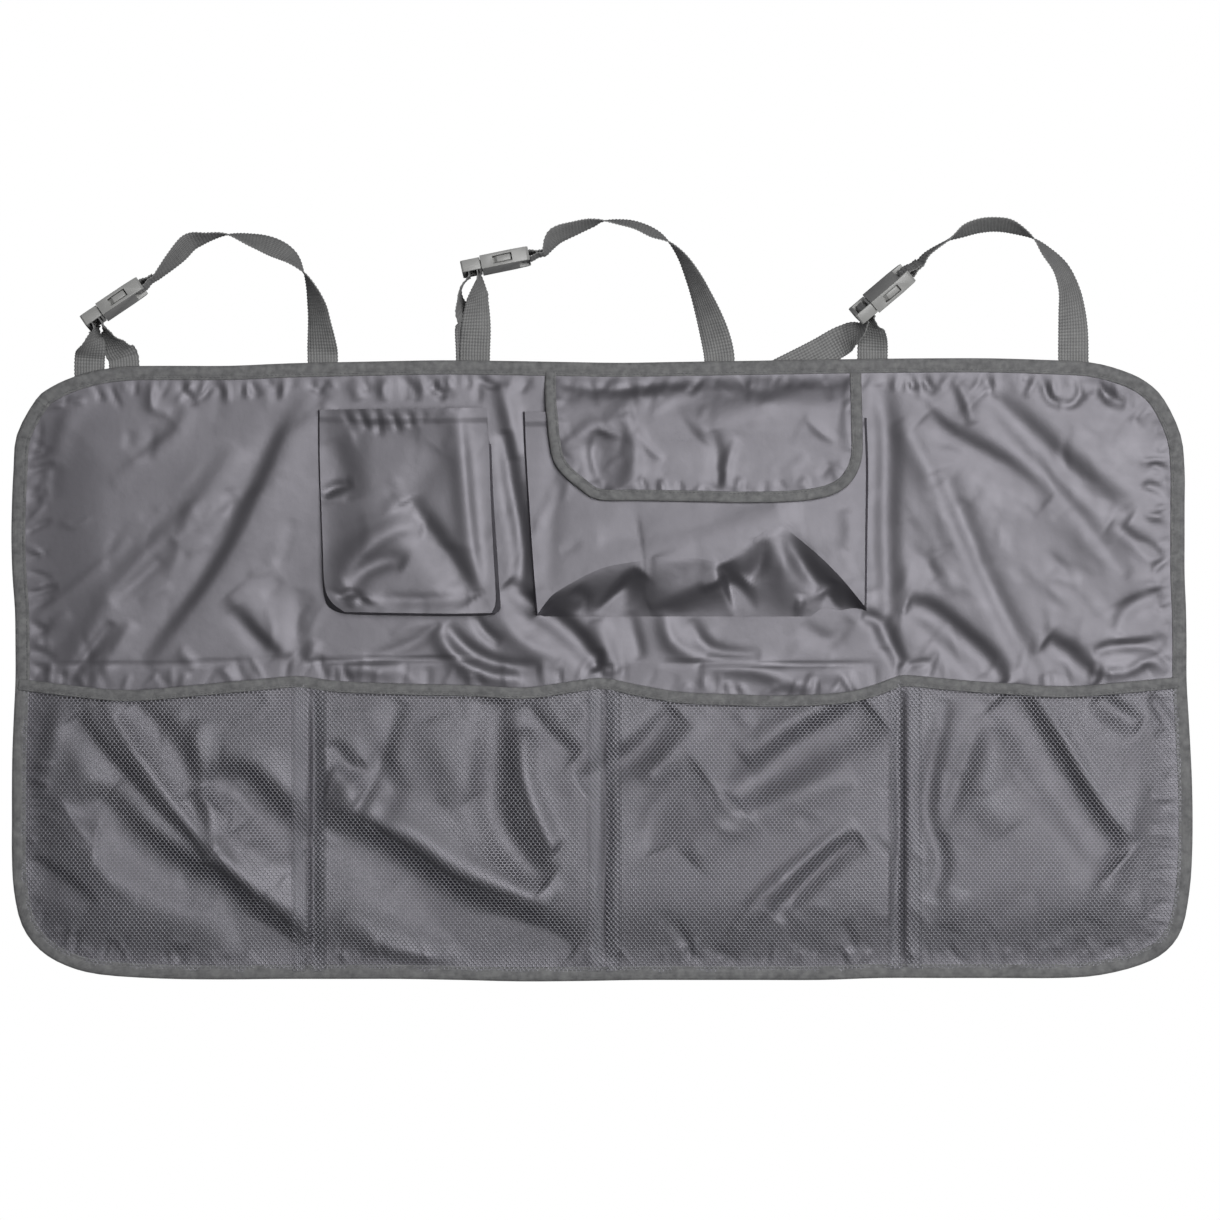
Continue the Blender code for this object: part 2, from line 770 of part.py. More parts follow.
def carve(name, base, joined, cut):
    """One mesh from a base with solids joined on and others cut away."""
    target = bpy.data.objects.new(name, base)
    bpy.context.scene.collection.objects.link(target)
    helpers = []
    for operation, meshes in (("UNION", joined), ("DIFFERENCE", cut)):
        for mesh in meshes:
            helper = bpy.data.objects.new(name + "_tool", mesh)
            bpy.context.scene.collection.objects.link(helper)
            helpers.append(helper)
            modifier = target.modifiers.new(operation.lower(), "BOOLEAN")
            modifier.operation = operation
            modifier.solver = "EXACT"
            modifier.object = helper
    depsgraph = bpy.context.evaluated_depsgraph_get()
    mesh = bpy.data.meshes.new_from_object(target.evaluated_get(depsgraph))
    for obj in helpers + [target]:
        bpy.data.objects.remove(obj, do_unlink=True)
    mesh.name = name
    return mesh


SLOT_HALF = LATCH_WIDTH / 2 - RAIL
LADDER_BAR = LATCH_LENGTH - OUTER_BAR - 2 * LADDER_SLOT - RAIL
OUTER_SLOT_END = OUTER_BAR + LADDER_SLOT
INNER_SLOT_START = OUTER_SLOT_END + LADDER_BAR
INNER_SLOT_END = INNER_SLOT_START + LADDER_SLOT
HOUSING_START = LATCH_LENGTH + GAP
END_SLOT_START = BUCKLE_LENGTH - END_BAR - END_SLOT
CAVITY_END = WINDOW_END + ARM_END_GAP
CAVITY_HALF = HOUSING_WIDTH / 2 - 0.0033
CAVITY_DEPTH = HOUSING_THICKNESS / 2 - CAVITY_WALL


def latch_mesh():
    """The half with the ladder for the webbing, the tongue and the two sprung prongs."""
    thick = LATCH_THICKNESS / 2
    far = HOUSING_THICKNESS
    wide = LATCH_WIDTH / 2
    soft = LATCH_ROUNDING
    outline = [
        (soft, -wide),
        (LATCH_LENGTH, -wide),
        (LATCH_LENGTH, wide),
        (soft, wide),
        (0.0, wide - soft),
        (0.0, -wide + soft),
    ]
    base = prism_mesh("latch", outline, -thick, thick)
    prong = PRONG_THICKNESS / 2
    root = LATCH_LENGTH - 0.0010
    outer = CAVITY_HALF - RUNNING_GAP
    inner = outer - PRONG_WIDTH
    pad = HOUSING_WIDTH / 2 - PAD_INSET
    start = WINDOW_START + RUNNING_GAP
    end = WINDOW_END - RUNNING_GAP
    joined = [
        box_mesh(
            "tongue",
            (root, -TONGUE_WIDTH / 2, -prong),
            (end - ARM_END_GAP, TONGUE_WIDTH / 2, prong),
        )
    ]
    for side in (-1, 1):
        arm = [
            (root, side * inner),
            (end - ARM_END_GAP, side * (inner + 0.0004)),
            (end + 0.001, side * (inner + 0.0018)),
            (end, side * (outer - 0.0002)),
            (end - 0.0008, side * pad),
            (start + 0.0030, side * pad),
            (start + 0.0004, side * outer),
            (root, side * outer),
        ]
        joined.append(prism_mesh("arm", arm, -prong, prong))
    half = BAR_THICKNESS / 2
    cut = [
        box_mesh("slot", (OUTER_BAR, -SLOT_HALF, -far), (OUTER_SLOT_END, SLOT_HALF, far)),
        box_mesh(
            "slot", (INNER_SLOT_START, -SLOT_HALF, -far), (INNER_SLOT_END, SLOT_HALF, far)
        ),
    ]
    for low, high in ((-far, -half), (half, far)):
        start_x = OUTER_BAR + LADDER_SLOT / 2
        end_x = INNER_SLOT_END - LADDER_SLOT / 2
        cut.append(box_mesh("thin", (start_x, -SLOT_HALF, low), (end_x, SLOT_HALF, high)))
    return carve("buckle_latch", base, joined, cut)


def housing_mesh():
    """The half that the prongs snap into, with side windows and a bar for the strap."""
    thick = HOUSING_THICKNESS / 2
    far = HOUSING_THICKNESS
    wide = HOUSING_WIDTH / 2
    end = HOUSING_END_WIDTH / 2
    soft = HOUSING_ROUNDING
    outline = [
        (HOUSING_START, -wide),
        (WINDOW_END, -wide),
        (BUCKLE_LENGTH - soft, -end),
        (BUCKLE_LENGTH, -end + soft),
        (BUCKLE_LENGTH, end - soft),
        (BUCKLE_LENGTH - soft, end),
        (WINDOW_END, wide),
        (HOUSING_START, wide),
    ]
    base = prism_mesh("housing", outline, -thick, thick)
    bar_start = BUCKLE_LENGTH - END_BAR
    half = BAR_THICKNESS / 2
    slot = SLOT_HALF
    beyond = BUCKLE_LENGTH + far
    cut = [
        box_mesh(
            "cavity",
            (HOUSING_START - 0.002, -CAVITY_HALF, -CAVITY_DEPTH),
            (CAVITY_END, CAVITY_HALF, CAVITY_DEPTH),
        ),
        box_mesh(
            "window",
            (WINDOW_START, -HOUSING_WIDTH, -CAVITY_DEPTH),
            (WINDOW_END, HOUSING_WIDTH, CAVITY_DEPTH),
        ),
        box_mesh("slot", (END_SLOT_START, -slot, -far), (bar_start, slot, far)),
        box_mesh("thin", (bar_start - 0.001, -slot, -far), (beyond, slot, -half)),
        box_mesh("thin", (bar_start - 0.001, -slot, half), (beyond, slot, far)),
    ]
    return carve("buckle_housing", base, [], cut)


def rounded_route(corners, radius, steps=3):
    """A flat route whose corners are rounded to a radius."""
    points = [Vector(corners[0])]
    for before, corner, after in zip(corners, corners[1:], corners[2:]):
        corner = Vector(corner)
        back = (Vector(before) - corner).normalized()
        ahead = (Vector(after) - corner).normalized()
        half = back.angle(ahead) / 2
        trim = radius / math.tan(half)
        centre = corner + (back + ahead).normalized() * (radius / math.sin(half))
        first = corner + back * trim - centre
        last = corner + ahead * trim - centre
        turn = first.angle_signed(last)
        for k in range(steps + 1):
            angle = -turn * k / steps
            spun = Matrix.Rotation(angle, 2) @ first
            points.append(centre + spun)
    points.append(Vector(corners[-1]))
    return points


def smooth_through(values, steps):
    """Equal-length tuples read off a smooth curve through the given ones."""
    first = tuple(2 * a - b for a, b in zip(values[0], values[1]))
    last = tuple(2 * a - b for a, b in zip(values[-1], values[-2]))
    knots = [first, *values, last]
    smooth = []
    for k in range(len(values) - 1):
        p0, p1, p2, p3 = knots[k : k + 4]
        for step in range(steps):
            t = step / steps
            smooth.append(
                tuple(
                    0.5
                    * (
                        2 * b
                        + (c - a) * t
                        + (2 * a - 5 * b + 4 * c - d) * t**2
                        + (3 * b - a - 3 * c + d) * t**3
                    )
                    for a, b, c, d in zip(p0, p1, p2, p3)
                )
            )
    smooth.append(tuple(values[-1]))
    return smooth


def ribbon_rings(stations):
    """Sections of webbing at its stations, each a centre and the direction of its width."""
    rings = []
    for k, (centre, width) in enumerate(stations):
        before = stations[max(k - 1, 0)][0]
        after = stations[min(k + 1, len(stations) - 1)][0]
        run_in = (centre - before).normalized() if k > 0 else None
        run_out = (after - centre).normalized() if k < len(stations) - 1 else None
        run_in = run_in or run_out
        run_out = run_out or run_in
        run = (run_in + run_out).normalized()
        across = (width - run * width.dot(run)).normalized()
        normal = run.cross(across)
        stretch = 1 / max(math.cos(run_in.angle(run_out) / 2), 0.75)
        side = across * (WEB_WIDTH / 2)
        skin = normal * (WEB / 2 * stretch)
        rings.append(
            [
                centre - side - skin,
                centre + side - skin,
                centre + side + skin,
                centre - side + skin,
            ]
        )
    return rings


def natural_height(lean):
    """Height of webbing's middle where it leans by an angle and touches the surface."""
    return WEB_WIDTH / 2 * abs(math.sin(lean)) + WEB / 2 * abs(math.cos(lean))


def ease(stations, held):
    """Smooth webbing where a bend would fold its edges over themselves.

    held names the stations that stay as they are.
    """
    for _ in range(EASE_ROUNDS):
        rings = ribbon_rings(stations)
        near = set()
        for k, (a, b) in enumerate(zip(rings, rings[1:])):
            run = (stations[k + 1][0] - stations[k][0]).normalized()
            if min((q - p).dot(run) for p, q in zip(a, b)) < EDGE_STEP:
                near.update(range(k - 3, k + 5))
        near = {k for k in near if 1 < k < len(stations) - 2} - held
        if not near:
            break
        eased = list(stations)
        for k in near:
            before, own, after = stations[k - 1 : k + 2]
            centre = (before[0] + 2 * own[0] + after[0]) / 4
            width = (before[1] + 2 * own[1] + after[1]).normalized()
            centre.z = max(centre.z, natural_height(math.asin(width.z)))
            eased[k] = (centre, width)
        stations = eased
    return stations


@dataclass
class Strap:
    """A webbing loop: a long strap, a buckle and the short strap through its ladder.

    Routes run from the buckle to the panel as (x, height above the panel's top edge,
    roll in degrees), where roll 0 or 180 lies flat and 90 stands on its edge.
    """

    name: str
    latch_end: tuple
    heading: tuple
    roll: float
    long_route: tuple
    outer_leg: tuple
    inner_leg: tuple
    inner_lift: float = 0.0

    def __post_init__(self):
        self.along = Vector((*self.heading, 0.0)).normalized()
        side = Vector((-self.along.y, self.along.x, 0.0))
        lean = math.radians(self.roll)
        self.width = side * math.cos(lean) + Vector((0, 0, math.sin(lean)))
        self.thick = self.along.cross(self.width)
        self.height = HOUSING_WIDTH / 2 * abs(math.sin(lean))
        self.height += HOUSING_THICKNESS / 2 * abs(math.cos(lean))
        x, y = self.latch_end
        self.origin = Vector((x, TOP + y, self.height))

    def place(self, length, thick):
        """A point in the buckle's own length and thickness."""
        return self.origin + self.along * length + self.thick * thick

    def buckle_matrix(self):
        matrix = Matrix((self.along, self.width, self.thick)).transposed().to_4x4()
        matrix.translation = self.origin
        return matrix

    def free_run(self, start, route, sewn_z, held_run, lift=0.0, steps=2):
        """Stations of webbing from its leave of the buckle to its sewn end.

        start lists the last centres in the buckle, which the curve carries on from.
        The buckle holds the webbing up over held_run.
        """
        leave = start[-1][0] - start[-2][0]
        climb = max(leave.z, 0.0) / leave.to_2d().length
        knots = [(p.x, p.y, roll, p.z) for p, roll in start]
        total = len(route)
        for k, (x, y, roll) in enumerate(route):
            lean = math.radians(roll)
            natural = natural_height(lean)
            away = math.hypot(x - start[-1][0].x, TOP + y - start[-1][0].y)
            fall = 1 - smoothstep(0.0, held_run, away)
            held = max(start[-1][0].z + climb * away - natural, 0.0) * fall
            sewn = sewn_z if k == total - 1 else 0.0
            knots.append((x, TOP + y, roll, natural + max(held, lift, sewn)))
        smooth = smooth_through(knots, steps)[steps:]
        stations = []
        for k, (x, y, roll, z) in enumerate(smooth):
            ahead = smooth[min(k + 1, len(smooth) - 1)]
            behind = smooth[max(k - 1, 0)]
            run = Vector((ahead[0] - behind[0], ahead[1] - behind[1], 0.0)).normalized()
            side = Vector((-run.y, run.x, 0.0))
            lean = math.radians(roll)
            width = side * math.cos(lean) + Vector((0, 0, math.sin(lean)))
            stations.append((Vector((x, y, max(z, natural_height(lean)))), width))
        return stations

    def make_long(self, material):
        """From its sewn fold round the housing's bar to the top binding."""
        layer = (WEB + GAP) / 2
        over = BAR_THICKNESS / 2 + GAP + WEB / 2
        slot = END_SLOT_START + END_SLOT / 2
        exit_at = BUCKLE_LENGTH + LOOP_EXIT
        meet = BUCKLE_LENGTH + LOOP_MEET
        end = BUCKLE_LENGTH + SEWN_FOLD
        corners = [
            (end, -layer),
            (meet, -layer),
            (exit_at, -over),
            (slot, -over),
            (slot, over),
            (exit_at, over),
            (meet, layer),
            (end, layer),
        ]
        route = rounded_route(corners, WEB_BEND)
        stations = [(self.place(p.x, p.y), self.width) for p in route[:-1]]
        start = [
            (self.place(meet + 0.001, layer), self.roll),
            (self.place(end, layer), self.roll),
        ]
        sewn = STRAP_LIFT - GAP - WEB
        stations += self.free_run(start, self.long_route, sewn, LONG_HELD_RUN)
        name = self.name + "_long_strap"
        mesh = swept_mesh(name, ribbon_rings(stations), closed=False)
        return add_object(name, mesh, material)

    def make_short(self, material):
        """Through the ladder, round its bar, and both ends down to the top binding."""
        over = BAR_THICKNESS / 2 + GAP + WEB / 2
        inner = INNER_SLOT_START + LADDER_SLOT / 2
        outer = OUTER_BAR + LADDER_SLOT / 2
        clear = LATCH_THICKNESS / 2 + GAP
        leave = clear + WEB_BEND
        corners = [(inner, leave), (inner, -over), (outer, -over), (outer, leave)]
        route = rounded_route(corners, WEB_BEND)
        sewn = STRAP_LIFT - GAP - WEB
        runs = []
        for place, leg, lift in (
            (inner, self.inner_leg, self.inner_lift),
            (outer, self.outer_leg, 0.0),
        ):
            start = [
                (self.place(place, leave - 0.003), 90.0),
                (self.place(place, leave), 90.0),
            ]
            end_z = 0.0 if lift == 0.0 and self.inner_lift > 0.0 else sewn
            runs.append(self.free_run(start, leg, end_z, SHORT_HELD_RUN, lift)[1:])
        inside = [(self.place(p.x, p.y), self.width) for p in route]
        stations = runs[0][::-1] + inside + runs[1]
        held = set(range(len(runs[0]), len(runs[0]) + len(inside)))
        stations = ease(face_one_way(stations), held)
        name = self.name + "_short_strap"
        mesh = swept_mesh(name, ribbon_rings(stations), closed=False)
        return add_object(name, mesh, material)


def face_one_way(stations):
    """Turn width directions over where they point against the one before."""
    turned = [stations[0]]
    for centre, width in stations[1:]:
        if width.dot(turned[-1][1]) < 0:
            width = -width
        turned.append((centre, width))
    return turned


STRAPS = (
    Strap(
        name="left",
        latch_end=(-0.3932, 0.0267),
        heading=(0.830, 0.558),
        roll=81.0,
        long_route=(
            (-0.3239, 0.0785, 58),
            (-0.3132, 0.0892, 56),
            (-0.3010, 0.0926, 74),
            (-0.2858, 0.0949, 90),
            (-0.2693, 0.0912, 113),
            (-0.2516, 0.0857, 129),
            (-0.2380, 0.0783, 120),
            (-0.2271, 0.0660, 90),
            (-0.2210, 0.0538, 70),
            (-0.2169, 0.0402, 51),
            (-0.2149, 0.0267, 39),
            (-0.2134, 0.0130, 20),
            (-0.2128, 0.0030, 0),
            (-0.2128, -0.0122, 0),
        ),
        outer_leg=(
            (-0.3862, 0.0190, 106),
            (-0.3876, 0.0130, 124),
            (-0.3890, 0.0070, 148),
            (-0.3902, 0.0010, 174),
            (-0.3905, -0.0070, 180),
            (-0.3903, -0.0150, 180),
        ),
        inner_leg=(
            (-0.3776, 0.0230, 84),
            (-0.3748, 0.0175, 70),
            (-0.3716, 0.0130, 54),
            (-0.3682, 0.0070, 30),
            (-0.3645, 0.0010, 0),
            (-0.3640, -0.0125, 0),
        ),
    ),
    Strap(
        name="middle",
        latch_end=(-0.1067, 0.0678),
        heading=(0.980, 0.202),
        roll=82.0,
        long_route=(
            (-0.0366, 0.0925, 58),
            (-0.0223, 0.0988, 64),
            (-0.0084, 0.1034, 75),
            (0.0008, 0.1052, 90),
            (0.0134, 0.1042, 101),
            (0.0259, 0.1018, 106),
            (0.0396, 0.0956, 108),
            (0.0515, 0.0886, 90),
            (0.0616, 0.0770, 74),
            (0.0693, 0.0629, 60),
            (0.0754, 0.0489, 49),
            (0.0818, 0.0319, 32),
            (0.0865, 0.0163, 14),
            (0.0892, 0.0030, 0),
            (0.0900, -0.0122, 0),
        ),
        outer_leg=(
            (-0.1059, 0.0564, 90),
            (-0.1086, 0.0472, 95),
            (-0.1069, 0.0381, 120),
            (-0.1038, 0.0335, 140),
            (-0.1021, 0.0290, 153),
            (-0.1010, 0.0236, 165),
            (-0.1002, 0.0130, 176),
            (-0.0998, 0.0046, 180),
            (-0.0997, -0.0122, 180),
        ),
        inner_leg=(
            (-0.0945, 0.0541, 117),
            (-0.0952, 0.0442, 135),
            (-0.0960, 0.0236, 165),
            (-0.0968, 0.0076, 180),
            (-0.0970, -0.0122, 180),
        ),
        inner_lift=STRAP_LIFT - GAP - WEB,
    ),
    Strap(
        name="right",
        latch_end=(0.1928, 0.0320),
        heading=(0.763, 0.646),
        roll=106.0,
        long_route=(
            (0.2480, 0.0805, 99),
            (0.2640, 0.0910, 90),
            (0.2751, 0.0974, 70),
            (0.2865, 0.1013, 64),
            (0.2992, 0.1025, 64),
            (0.3121, 0.1006, 67),
            (0.3274, 0.0926, 90),
            (0.3376, 0.0823, 111),
            (0.3490, 0.0693, 124),
            (0.3554, 0.0533, 136),
            (0.3578, 0.0358, 155),
            (0.3589, 0.0198, 171),
            (0.3591, 0.0030, 180),
            (0.3591, -0.0122, 180),
        ),
        outer_leg=(
            (0.1985, 0.0215, 72),
            (0.1925, 0.0190, 46),
            (0.1865, 0.0160, 24),
            (0.1790, 0.0122, 5),
            (0.1680, 0.0058, 0),
            (0.1560, -0.0005, 0),
            (0.1430, -0.0070, 0),
        ),
        inner_leg=(
            (0.2044, 0.0270, 56),
            (0.2056, 0.0210, 36),
            (0.2062, 0.0130, 14),
            (0.2061, 0.0050, 0),
            (0.2061, -0.0125, 0),
        ),
    ),
)


def main():
    remove_scene_objects()
    cloth = finish("coated_polyester", (0.190, 0.186, 0.204), 0.42)
    net = finish("polyester_net", (0.150, 0.147, 0.158), 0.62)
    tape = finish("binding_tape", (0.180, 0.180, 0.182), 0.70)
    webbing = finish("polypropylene_webbing", (0.125, 0.125, 0.123), 0.66)
    plastic = finish("acetal_plastic", (0.210, 0.210, 0.212), 0.38)
    patch = finish("hook_and_loop", (0.100, 0.100, 0.104), 0.90)

    make_panel(cloth)
    make_edge_binding(tape)
    make_net(net)
    make_mouth_tapes(tape)
    for pocket in (SMALL_POCKET, LARGE_POCKET):
        pocket.make_front(cloth)
        pocket.make_gusset(cloth)
    make_flap(cloth)
    make_flap_binding(tape)
    make_patches(patch)

    latch = latch_mesh()
    housing = housing_mesh()
    for strap in STRAPS:
        strap.make_long(webbing)
        strap.make_short(webbing)
        for part, mesh in (("buckle_latch", latch), ("buckle_housing", housing)):
            obj = add_object(strap.name + "_" + part, mesh, plastic)
            obj.matrix_world = strap.buckle_matrix()


main()
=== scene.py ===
"""Looks of the hanging trunk organizer: cloths with their folds, net, tapes, webbing, buckles.

Lengths are in metres in the row's frame. The routes of edges and folds are picked in the
photo's pixels and used in millimetres from the panel's middle, seen from above.
"""

import logging
import math
from collections.abc import Callable, Sequence
from dataclasses import dataclass, field
from enum import Enum

import bmesh
import bpy
import numpy as np
from mathutils import Matrix, Vector


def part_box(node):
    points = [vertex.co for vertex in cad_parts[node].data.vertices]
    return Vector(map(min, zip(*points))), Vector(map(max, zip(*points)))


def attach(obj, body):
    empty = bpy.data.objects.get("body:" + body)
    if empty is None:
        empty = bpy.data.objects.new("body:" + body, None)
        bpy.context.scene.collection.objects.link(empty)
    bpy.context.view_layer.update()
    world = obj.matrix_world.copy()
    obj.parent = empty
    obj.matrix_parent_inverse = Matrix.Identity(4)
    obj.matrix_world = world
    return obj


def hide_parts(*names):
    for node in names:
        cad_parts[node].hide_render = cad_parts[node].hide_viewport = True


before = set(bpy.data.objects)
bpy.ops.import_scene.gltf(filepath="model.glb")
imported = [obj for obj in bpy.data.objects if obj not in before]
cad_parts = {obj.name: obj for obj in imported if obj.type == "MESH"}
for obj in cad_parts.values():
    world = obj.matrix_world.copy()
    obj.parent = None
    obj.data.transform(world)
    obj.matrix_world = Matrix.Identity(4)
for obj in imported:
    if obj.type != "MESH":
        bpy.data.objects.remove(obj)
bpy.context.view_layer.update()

LOG = logging.getLogger("scene")
MM = 0.001

Array = np.ndarray
Route = tuple[tuple[float, float], ...]
Height = Callable[[Array, Array], Array]

TOP = 0.23625
SEAMS = (-0.2225, 0.0023, 0.2309)


@dataclass(frozen=True)
class Fold:
    """One ridge or valley of a cloth.

    Args:
        route: places along its crest or floor, in millimetres.
        height: rise above the cloth, in millimetres, negative for a valley.
        left: half width on the left of the route, in millimetres.
        right: half width on the right of the route, in millimetres.
    """

    route: Route
    height: float
    left: float
    right: float


# The folds and the inner edges were picked in the photo. The outer edge's places were
# measured there, about every 35 rows and 60 columns, where the cloth ends. All stay in the
# photo's pixels, counted from its upper left corner, until from_photo turns them to
# millimetres on the panel.
MIDDLE_PIXEL = (602, 669.5)
PIXEL_MM = 0.762

# How much higher or flatter than first picked the folds lie, matched to the photo's shading
UPPER_LEFT_END = 330
UPPER_LEFT_SHARE = 0.65
UPPER_SHARE = 1.15
LONG_FOLD_PIXELS = 110
LOWER_LONG_SHARE = 2.1
LOWER_SHORT_SHARE = 1.25


def from_photo(route: Route) -> Route:
    """Places picked in pixels as millimetres from the panel's middle, to a tenth."""
    return tuple(
        (round((u - MIDDLE_PIXEL[0]) * PIXEL_MM, 1), round((MIDDLE_PIXEL[1] - v) * PIXEL_MM, 1))
        for u, v in route
    )


def as_picked(route: Route) -> float:
    """Share of a fold whose height stays as picked."""
    return 1.0


def upper_share(route: Route) -> float:
    """Share of a fold's height above the net: the upper left lies flatter than the rest."""
    middle = sum(u for u, _ in route) / len(route)
    return UPPER_LEFT_SHARE if middle < UPPER_LEFT_END else UPPER_SHARE


def lower_share(route: Route) -> float:
    """Share of a fold's height below the net's edge: long folds stand higher than short ones."""
    run = sum(math.dist(a, b) for a, b in zip(route, route[1:]))
    return LOWER_LONG_SHARE if run > LONG_FOLD_PIXELS else LOWER_SHORT_SHARE


def folds_from_photo(share: Callable[[Route], float], picked: Sequence[Fold]) -> tuple[Fold, ...]:
    """Folds picked in pixels as folds in whole millimetres.

    Args:
        share: gives the share of its height that a route keeps.
        picked: the folds, their routes still in pixels.

    Returns:
        The folds on the panel.
    """
    folds = []
    for fold in picked:
        route = tuple((round(x), round(y)) for x, y in from_photo(fold.route))
        height = round(fold.height * share(fold.route), 1)
        folds.append(Fold(route, height, fold.left, fold.right))
    return tuple(folds)


# The panel's outer edge, anticlockwise from the upper left
OUTLINE = from_photo((
    (36, 400), (17, 435), (13.5, 470), (12, 505), (11.5, 540), (12.5, 575), (15, 610), (15.5, 645),
    (15.5, 680), (14, 715), (12.5, 750), (12, 785), (12, 820), (12, 855), (14, 890), (22, 925),
    (40, 950), (66, 965.5), (100, 974.5), (160, 978.5), (220, 979.5), (280, 979), (340, 979),
    (400, 979), (460, 980), (520, 981.5), (580, 981), (640, 980), (700, 980), (760, 980),
    (820, 980), (880, 978), (940, 978), (1000, 978), (1060, 978), (1100, 975), (1140, 965),
    (1166, 951), (1182, 928), (1189.5, 890), (1192, 855), (1192.5, 820), (1192, 785), (1190.5, 750),
    (1188.5, 715), (1186.5, 680), (1186.5, 645), (1186, 610), (1184.5, 575), (1184.5, 540),
    (1184.5, 505), (1184.5, 470), (1180.5, 435), (1164, 400), (1146, 382), (1122, 370.5),
    (1090, 362.5), (1045, 360), (990, 358.5), (930, 358.5), (870, 359), (780, 360.5), (680, 362),
    (620, 363), (560, 362), (500, 361), (440, 360.5), (380, 361.5), (290, 363.5), (230, 366),
    (170, 366), (130, 366.5), (100, 370), (74, 377), (52, 387),
))

# The net's upper edge
MOUTH = from_photo((
    (20, 679), (45, 682), (70, 685), (130, 690), (200, 684.5), (260, 679), (300, 676), (340, 681),
    (420, 684), (470, 685), (524, 687.5), (560, 683), (588, 679), (606, 678), (640, 685),
    (682, 692), (730, 694), (777, 695.5), (841, 692.5), (870, 686), (892, 678), (906, 675),
    (940, 678), (975, 681), (1020, 684), (1055, 686), (1090, 685), (1124, 682), (1177, 677),
))

# Down the flap's left side, along its lower edge and up its right side
FLAP_EDGE = from_photo((
    (545, 372), (545, 400), (547, 420), (549, 440), (553, 460), (562, 474), (578, 488), (598, 500),
    (640, 501), (700, 502), (740, 503), (790, 502), (822, 498), (842, 490), (855, 476), (862, 455),
    (862, 420), (861, 372),
))

# The small pocket's left side, downwards
SMALL_LEFT = from_photo((
    (320, 410), (320, 450), (321, 490), (323, 540), (325, 585), (332, 602), (345, 612),
))

# The small pocket's right side, downwards
SMALL_RIGHT = from_photo((
    (487, 408), (489, 440), (491, 500), (494, 560), (496, 600), (492, 613),
))

# The large pocket's left side, downwards
LARGE_LEFT = from_photo((
    (525, 412), (526, 450), (530, 520), (534, 580), (537, 614),
))

# The large pocket's right side, downwards
LARGE_RIGHT = from_photo((
    (864, 418), (866, 470), (866, 530), (866, 590), (866, 610),
))

# Where the large pocket's front turns in to its base
ARCH = from_photo((
    (538, 614), (548, 600), (560, 590), (600, 569), (640, 561), (655, 557), (700, 559), (722, 562),
    (745, 547), (775, 526), (806, 545), (838, 575), (864, 606),
))

